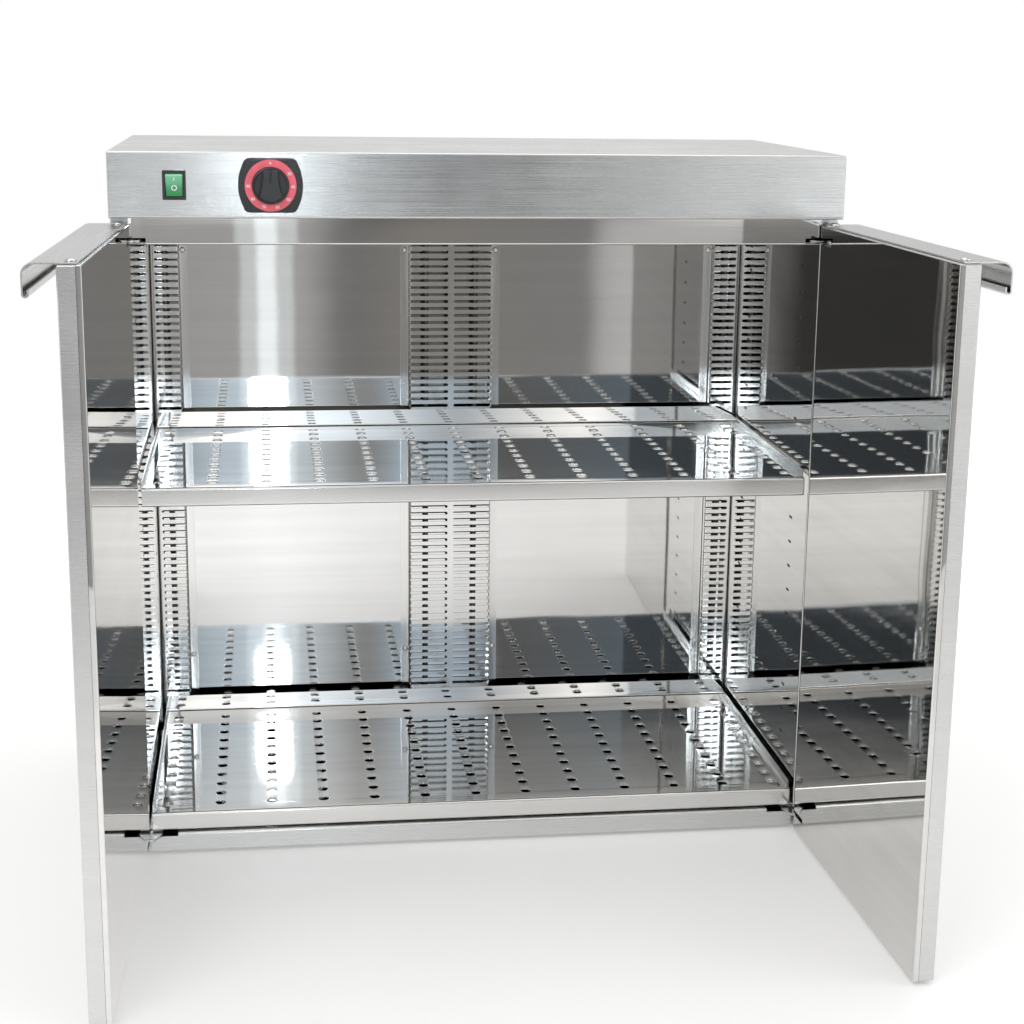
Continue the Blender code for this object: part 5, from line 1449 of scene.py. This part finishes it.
class WARMER_OT_switch(bpy.types.Operator):
    """Power switch: bezel, rocker and its two marks"""

    bl_idname = "warmer.switch"
    bl_label = "Power switch"

    def execute(self, context):
        low, high = SWITCH_LOW, SWITCH_HIGH
        x = (low.x + high.x) / 2
        z = (low.z + high.z) / 2
        bezel = soft_box((low.x, low.y, low.z), (high.x, low.y + 0.0020, high.z), 0.0007, 3)
        body = soft_box((x - 0.0110, low.y + 0.0015, z - 0.0140), (x + 0.0110, high.y, z + 0.0140), 0.0006, 2)
        well = ((x - 0.0093, low.y - PAST, z - 0.0125), (x + 0.0093, low.y + 0.012, z + 0.0125))
        add_piece("switch_bezel", joined(cut(bezel, [well]), cut(body, [well])), "cabinet", "black",
                  "black_plastic", "switch_housing")
        clip = soft_box((low.x + 0.0006, HEAD_LOW.y - 0.0007, low.z - 0.0009),
                        (high.x - 0.0006, HEAD_LOW.y + 0.0004, high.z + 0.0009), 0.0004, 2)
        half_x, half_z = SWITCH_OPENING
        clip = cut(clip, [((x - half_x, low.y - PAST, z - half_z), (x + half_x, high.y, z + half_z))])
        add_piece("switch_clip", project_grain(clip), "cabinet", "bracket", "bracket")
        self.rocker(context.scene.warmer_dial, x)
        return {"FINISHED"}

    def rocker(self, dial, x):
        pivot = Vector(JOINTS["rocker_tilt"]["pos_m"])
        radius, rise, tip_rise, back = 0.0121, 0.0030, 0.0054, 0.0042
        tip = math.acos(tip_rise / radius)
        tail = math.pi - math.acos(back / radius)
        upper = arc(radius, tip, tail - tip, 10)
        dish = []
        for index in range(11):
            height = radius * math.sin(tip) * (index / 10 * 2 - 1)
            share = (height / (radius * math.sin(tip))) ** 2
            dish.append((rise + (tip_rise - rise) * share, height))
        lower = [(a, -b) for a, b in reversed(upper)]
        outline = dish + upper[1:] + lower[:-1]
        shape = slab([(b, a) for a, b in outline], -0.0089, 0.0089, 0.0007, 3)
        # The slab lies in XY: its X is height, its Y is rise towards the front, its Z runs across
        to_place = Matrix(((0, 0, 1, 0), (0, -1, 0, 0), (1, 0, 0, 0), (0, 0, 0, 1)))
        lean = Matrix.Rotation(dial.rocker_tilt, 4, "X")
        place = Matrix.Translation((x, pivot.y, pivot.z)) @ lean
        shape.transform(place @ to_place)
        bm = bmesh.new()
        bm.from_mesh(shape)
        bmesh.ops.recalc_face_normals(bm, faces=bm.faces[:])
        bm.to_mesh(shape)
        bm.free()
        add_piece("rocker_cap", shape, "rocker", "rocker", "green_plastic", "switch_rocker")
        facing = facing_front(0, 0, 0)
        stroke = 0.00065
        bar = soft_box((-stroke, -0.0021, -0.00012), (stroke, 0.0021, 0.00012), 0.0001, 1)
        ring = turned([(0.0020, -0.00012), (0.0030, -0.00012), (0.0030, 0.00012), (0.0020, 0.00012),
                       (0.0020, -0.00012)], (0, 0, 0), 32)
        for mark, height, slant in ((bar, 0.0074, 0.30), (ring, -0.0024, -0.10)):
            share = (height / (radius * math.sin(tip))) ** 2
            front = rise + (tip_rise - rise) * share
            spot = Matrix.Translation((0, -front - 0.00006, height)) @ Matrix.Rotation(slant, 4, "X")
            mark.transform(place @ spot @ facing)
        add_piece("rocker_marks", project_grain(joined(bar, ring)), "rocker", "print", "green_plastic")


def dial_centre():
    low, high = SCALE_LOW, SCALE_HIGH
    return (low.x + high.x) / 2, (low.z + high.z) / 2


class WARMER_OT_dial(bpy.types.Operator):
    """Thermostat: ribbed plate, printed ring and knob"""

    bl_idname = "warmer.dial"
    bl_label = "Thermostat dial"

    def execute(self, context):
        x, z = dial_centre()
        self.plate(x, z)
        self.ring(x, z, context.scene.warmer_dial)
        self.knob(x, z)
        finish_nodes("bracket", "dial_shaft")
        return {"FINISHED"}

    def outline(self, half_w, half_h, corner_w, rounding):
        """Flat above and below, bulging at the sides, with rounded corners."""
        bulge = half_w - corner_w
        radius = (half_h ** 2 + bulge ** 2) / (2 * bulge)
        spread_angle = math.asin(half_h / radius)
        side = arc(radius, -spread_angle, 2 * spread_angle, 20, (half_w - radius, 0.0))
        trimmed = [spot for spot in side if abs(spot[1]) < half_h - rounding * 0.8]
        corner_x = trimmed[-1][0]
        corner_shares = ((0.25, 0.35), (0.7, 0.1), (1.25, 0.0))
        top = [(corner_x - rounding * inwards, half_h - rounding * down) for inwards, down in corner_shares]
        right = [(a, -b) for a, b in reversed(top)] + trimmed + top
        return right + [(-a, -b) for a, b in right]

    def plate(self, x, z):
        low, high = DIAL_LOW, DIAL_HIGH
        half_w = (high.x - low.x) / 2
        half_h = (high.z - low.z) / 2
        depth = high.y - low.y
        base = slab(self.outline(half_w, half_h, half_w - 0.0085, 0.006), 0, depth * 0.62, 0.0010, 3)
        raised = slab(self.outline(half_w - 0.0035, half_h - 0.0010, half_w - 0.0122, 0.006), depth * 0.5,
                      depth * 0.84, 0.0007, 3)
        crown = slab(self.outline(half_w - 0.0068, half_h - 0.0012, half_w - 0.0156, 0.005), depth * 0.3,
                     depth, 0.0013, 4)
        mesh = joined(base, raised, crown)
        mesh.transform(facing_front(x, high.y, z))
        add_piece("dial_escutcheon", mesh, "cabinet", "dial", "black_plastic", "dial_plate")

    def ring(self, x, z, dial):
        low, high = SCALE_LOW, SCALE_HIGH
        radius = (high.x - low.x) / 2
        inner = (KNOB_HIGH.x - KNOB_LOW.x) / 2 + 0.0004
        depth = high.y - low.y
        profile = [(inner, 0), (radius, 0), (radius, depth - 0.0003), (radius - 0.0003, depth),
                   (inner + 0.0003, depth), (inner, depth - 0.0003), (inner, 0)]
        mesh = turned(profile, (0, 0, 0), 96)
        mesh.transform(facing_front(x, high.y, z))
        add_piece("dial_ring", mesh, "cabinet", "scale", "red_scale", "dial_scale")
        middle = (inner + radius) / 2
        marks = []
        values = range(dial.lowest, dial.highest + 1, 10)
        for index, value in enumerate(values):
            angle = dial.first_mark + dial.mark_step * index
            spot = (x + middle * math.sin(angle), low.y - PRINT_LIFT, z + middle * math.cos(angle))
            marks.append(text_mesh(str(value), dial.number_height, facing_front(*spot), PRINT))
        dot = slab([(0.0009 * a, 0.0013 * b) for a, b in arc(1.0, 0.0, math.tau, 20)[:-1]], -PRINT, PRINT)
        dot.transform(facing_front(x, low.y - PRINT_LIFT, z + middle))
        add_piece("dial_numbers", project_grain(joined(dot, *marks)), "cabinet", "print", "red_scale")

    def knob(self, x, z):
        low, high = KNOB_LOW, KNOB_HIGH
        radius = (high.x - low.x) / 2
        depth = high.y - low.y
        skirt = 0.0055
        profile = [(0.0033, 0), (radius - 0.0004, 0), (radius, 0.0005), (radius, skirt - 0.0012),
                   (radius - 0.0004, skirt - 0.0004), (radius - 0.0012, skirt), (radius - 0.0018, skirt),
                   (radius - 0.0026, skirt - 0.0006), (0.006, skirt - 0.0009), (0, skirt - 0.0009)]
        base = turned(profile, (0, 0, 0), 72)
        grip_shape = self.grip(radius * 0.93)
        trench = [self.widened(spot, 0.0015, radius - 0.0019) for spot in grip_shape]
        base = carve(base, slab(trench, skirt - 0.0034, skirt + 0.002))
        grip = slab(grip_shape, 0.0016, depth, 0.0010, 4)
        foot, tip, half = radius * 0.24, radius * 1.2, 0.0017
        groove = arc(half, math.pi, math.pi, 8, (0.0, foot)) + [(half, tip), (-half, tip)]
        grip = carve(grip, slab(groove, depth - 0.0024, depth + 0.002))
        tongue = soft_box((-0.0008, foot - 0.0006, depth - 0.004), (0.0008, radius * 0.80, depth - 0.0004),
                          0.0003, 2)
        mesh = joined(base, grip, tongue)
        mesh.transform(facing_front(x, high.y, z))
        add_piece("dial_grip", project_grain(mesh), "knob", "dial", "black_plastic", "dial_knob")

    def widened(self, spot, margin, limit):
        """A point moved outwards from the middle line, and kept within a circle."""
        x = spot[0] + math.copysign(margin, spot[0])
        y = spot[1] * 1.06
        reach = min(1.0, limit / math.hypot(x, y))
        return x * reach, y * reach

    def grip(self, radius):
        """The wedge: narrow at the pointer, with hollow flanks and a round foot."""
        flank = []
        for index in range(13):
            share = index / 12
            height = 0.86 - (0.86 + 0.60) * share
            width = 0.405 + 0.02 * share + 0.245 * share ** 2.2
            flank.append((width * radius, height * radius))
        foot_angle = math.atan2(flank[-1][1], flank[-1][0])
        reach = math.hypot(*flank[-1])
        foot = arc(reach, foot_angle, -math.pi - 2 * foot_angle, 16)[1:-1]
        nose_angle = math.atan2(flank[0][1], flank[0][0])
        nose_reach = math.hypot(*flank[0])
        nose = arc(nose_reach, math.pi - nose_angle, 2 * nose_angle - math.pi, 8)[1:-1]
        return flank + foot + [(-a, b) for a, b in reversed(flank)] + nose


class WARMER_OT_studio(bpy.types.Operator):
    """Table, backdrop, lamps and camera"""

    bl_idname = "warmer.studio"
    bl_label = "Studio"

    def execute(self, context):
        studio = context.scene.warmer_studio
        self.camera(context, studio)
        self.table(studio)
        self.world(context)
        for name, place, size, share in LAMPS:
            self.lamp(name, place, LAMP_TARGET, size, studio.lamp_power * share)
        ahead = Vector((0, 1, 0))
        near = Vector(studio.eye) + FLASH_OFFSET
        width, height = FLASH_SIZE
        self.lamp("lamp_camera", near, near + ahead, width, studio.flash_power, height, FLASH_COLOUR)
        place = Vector((studio.eye[0], near.y, STREAK_MIDDLE))
        for name, wider, dimmer in STREAKS:
            width = studio.streak_width * wider
            power = studio.streak_level * dimmer * math.pi * width * STREAK_HEIGHT
            streak = self.lamp(name, place, place + ahead, width, power, STREAK_HEIGHT, STREAK_COLOUR)
            streak.visible_diffuse = False
        self.lamp("lamp_spark", SPARK_PLACE, HEAD_LOW, SPARK_SIZE, studio.spark_power)
        context.scene.view_settings.view_transform = "Standard"
        return {"FINISHED"}

    def camera(self, context, studio):
        data = bpy.data.cameras.new("camera")
        data.lens = studio.lens
        data.sensor_width = 36.0
        data.shift_x, data.shift_y = studio.shift
        data.clip_end = 50.0
        thing = bpy.data.objects.new("camera", data)
        thing.location = studio.eye
        thing.rotation_euler = studio.aim
        collection().objects.link(thing)
        context.scene.camera = thing

    def lamp(self, name, place, target, size, power, height=None, colour=(1, 1, 1)):
        data = bpy.data.lights.new(name, "AREA")
        data.color = colour
        data.shape = "RECTANGLE"
        data.size = size
        data.size_y = height or size
        data.energy = power
        thing = bpy.data.objects.new(name, data)
        thing.location = place
        thing.rotation_euler = (Vector(target) - Vector(place)).to_track_quat("-Z", "Y").to_euler()
        thing.visible_camera = False
        collection().objects.link(thing)
        return thing

    def table(self, studio):
        bm = bmesh.new()
        bmesh.ops.create_grid(bm, x_segments=1, y_segments=1, size=1.0)
        front, rear = studio.table_front, TABLE_REAR
        stretch = Matrix.Diagonal((TABLE_SIDE, (rear - front) / 2, 1, 1))
        matrix = Matrix.Translation((0, (front + rear) / 2, 0)) @ stretch
        bmesh.ops.transform(bm, matrix=matrix, verts=bm.verts[:])
        mesh = mesh_from(bm, "table")
        material, tree, shader = shader_of("table_white")
        shader.inputs["Base Color"].default_value = TABLE_WHITE
        shader.inputs["Roughness"].default_value = 0.33
        rays = node(tree, "ShaderNodeLightPath")
        shader.inputs["Emission Color"].default_value = (1, 1, 1, 1)
        spot = node(tree, "ShaderNodeTexCoord").outputs["Object"]
        away = node(tree, "ShaderNodeVectorMath", {0: spot}, operation="LENGTH").outputs["Value"]
        seen = math_node(tree, "MULTIPLY", rays.outputs["Is Camera Ray"], spread(tree, away, *TABLE_LIFT))
        across = node(tree, "ShaderNodeSeparateXYZ", {"Vector": spot}).outputs["X"]
        gleam = math_node(tree, "MULTIPLY", spread(tree, across, *TABLE_GLEAM),
                          spread(tree, away, *GLEAM_FADE))
        mirrored = math_node(tree, "MULTIPLY", rays.outputs["Is Glossy Ray"], gleam)
        lifted = math_node(tree, "ADD", seen, mirrored)
        tree.links.new(lifted, shader.inputs["Emission Strength"])
        mesh.materials.append(material)
        thing = bpy.data.objects.new("table", mesh)
        collection().objects.link(thing)

    def world(self, context):
        """A white backdrop, and for reflections a room with dark corners and a light ceiling."""
        world = bpy.data.worlds.new("studio")
        world.use_nodes = True
        tree = world.node_tree
        tree.nodes.clear()
        toward = node(tree, "ShaderNodeTexCoord").outputs["Generated"]
        parts = node(tree, "ShaderNodeSeparateXYZ", {"Vector": toward})
        away = math_node(tree, "MULTIPLY", parts.outputs["Y"], -1.0)
        bearing = math_node(tree, "ARCTAN2", parts.outputs["X"], away)
        height = parts.outputs["Z"]
        room = self.zone(tree, bearing, ROOM_BELOW)
        for zone, start, stop in ROOM_ZONES:
            low, high = math.sin(math.radians(start)), math.sin(math.radians(stop))
            share = spread(tree, height, 0.0, 1.0, low, high)
            mix = node(tree, "ShaderNodeMix", {"Factor": share}, data_type="RGBA")
            tree.links.new(room, mix.inputs[6])
            tree.links.new(self.zone(tree, bearing, zone), mix.inputs[7])
            room = mix.outputs[2]
        rays = node(tree, "ShaderNodeLightPath")
        shiny = math_node(tree, "MAXIMUM", rays.outputs["Is Glossy Ray"], rays.outputs["Is Transmission Ray"])
        plain = node(tree, "ShaderNodeBackground", values={"Color": (1, 1, 1, 1), "Strength": 0.78})
        seen = node(tree, "ShaderNodeBackground", values={"Color": (1, 1, 1, 1), "Strength": 1.0})
        walls = node(tree, "ShaderNodeBackground", {"Color": room}, {"Strength": 1.0})
        first = node(tree, "ShaderNodeMixShader", {0: shiny, 1: plain.outputs[0], 2: walls.outputs[0]})
        second = node(tree, "ShaderNodeMixShader",
                      {0: rays.outputs["Is Camera Ray"], 1: first.outputs[0], 2: seen.outputs[0]})
        node(tree, "ShaderNodeOutputWorld", {"Surface": second.outputs[0]})
        context.scene.world = world

    def zone(self, tree, bearing, stops):
        """Levels of the room by bearing, in radians to the right of straight ahead."""
        position = spread(tree, bearing, 0.0, 1.0, -ROOM_SPAN, ROOM_SPAN)
        ramp = node(tree, "ShaderNodeValToRGB", {"Fac": position})
        elements = ramp.color_ramp.elements
        while len(elements) < len(stops):
            elements.new(0.5)
        for element, (angle, level, warmth) in zip(elements, stops):
            element.position = 0.5 + angle / (2 * ROOM_SPAN)
            element.color = (level * (1 + warmth), level, level * (1 - warmth), 1)
        return ramp.outputs[0]


STEPS = (WARMER_OT_studio, WARMER_OT_base, WARMER_OT_walls, WARMER_OT_heaters, WARMER_OT_shelves,
         WARMER_OT_doors, WARMER_OT_head, WARMER_OT_switch, WARMER_OT_dial)
GROUPS = {
    "warmer_sheet": WARMER_PG_sheet, "warmer_shelf": WARMER_PG_shelf, "warmer_slots": WARMER_PG_slots,
    "warmer_door": WARMER_PG_door, "warmer_dial": WARMER_PG_dial, "warmer_finish": WARMER_PG_finish,
    "warmer_studio": WARMER_PG_studio,
}


class WARMER_PT_panel(bpy.types.Panel):
    """Lists the pieces and their sizes"""

    bl_idname = "WARMER_PT_panel"
    bl_label = "Food Warmer Cabinet"
    bl_space_type = "VIEW_3D"
    bl_region_type = "UI"
    bl_category = "Warmer"

    def draw(self, context):
        for step in STEPS:
            self.layout.operator(step.bl_idname, text=step.bl_label)
        for name, group in GROUPS.items():
            column = self.layout.column(heading=group.__doc__)
            for prop in group.__annotations__:
                column.prop(getattr(context.scene, name), prop)


def register():
    for group in GROUPS.values():
        bpy.utils.register_class(group)
    for name, group in GROUPS.items():
        setattr(bpy.types.Scene, name, bpy.props.PointerProperty(type=group))
    for step in STEPS:
        bpy.utils.register_class(step)
    bpy.utils.register_class(WARMER_PT_panel)


def unregister():
    bpy.utils.unregister_class(WARMER_PT_panel)
    for step in reversed(STEPS):
        bpy.utils.unregister_class(step)
    for name in GROUPS:
        delattr(bpy.types.Scene, name)
    for group in reversed(GROUPS.values()):
        bpy.utils.unregister_class(group)


def main():
    register()
    TREES["sheet"] = perforated_sheet_tree()
    TREES["drilled"] = drilled_sheet_tree()
    TREES["screws"] = screw_tree()
    FINISHES.update(make_finishes())
    for step in STEPS:
        category, name = step.bl_idname.split(".")
        getattr(getattr(bpy.ops, category), name)()


if __name__ == "__main__":
    main()
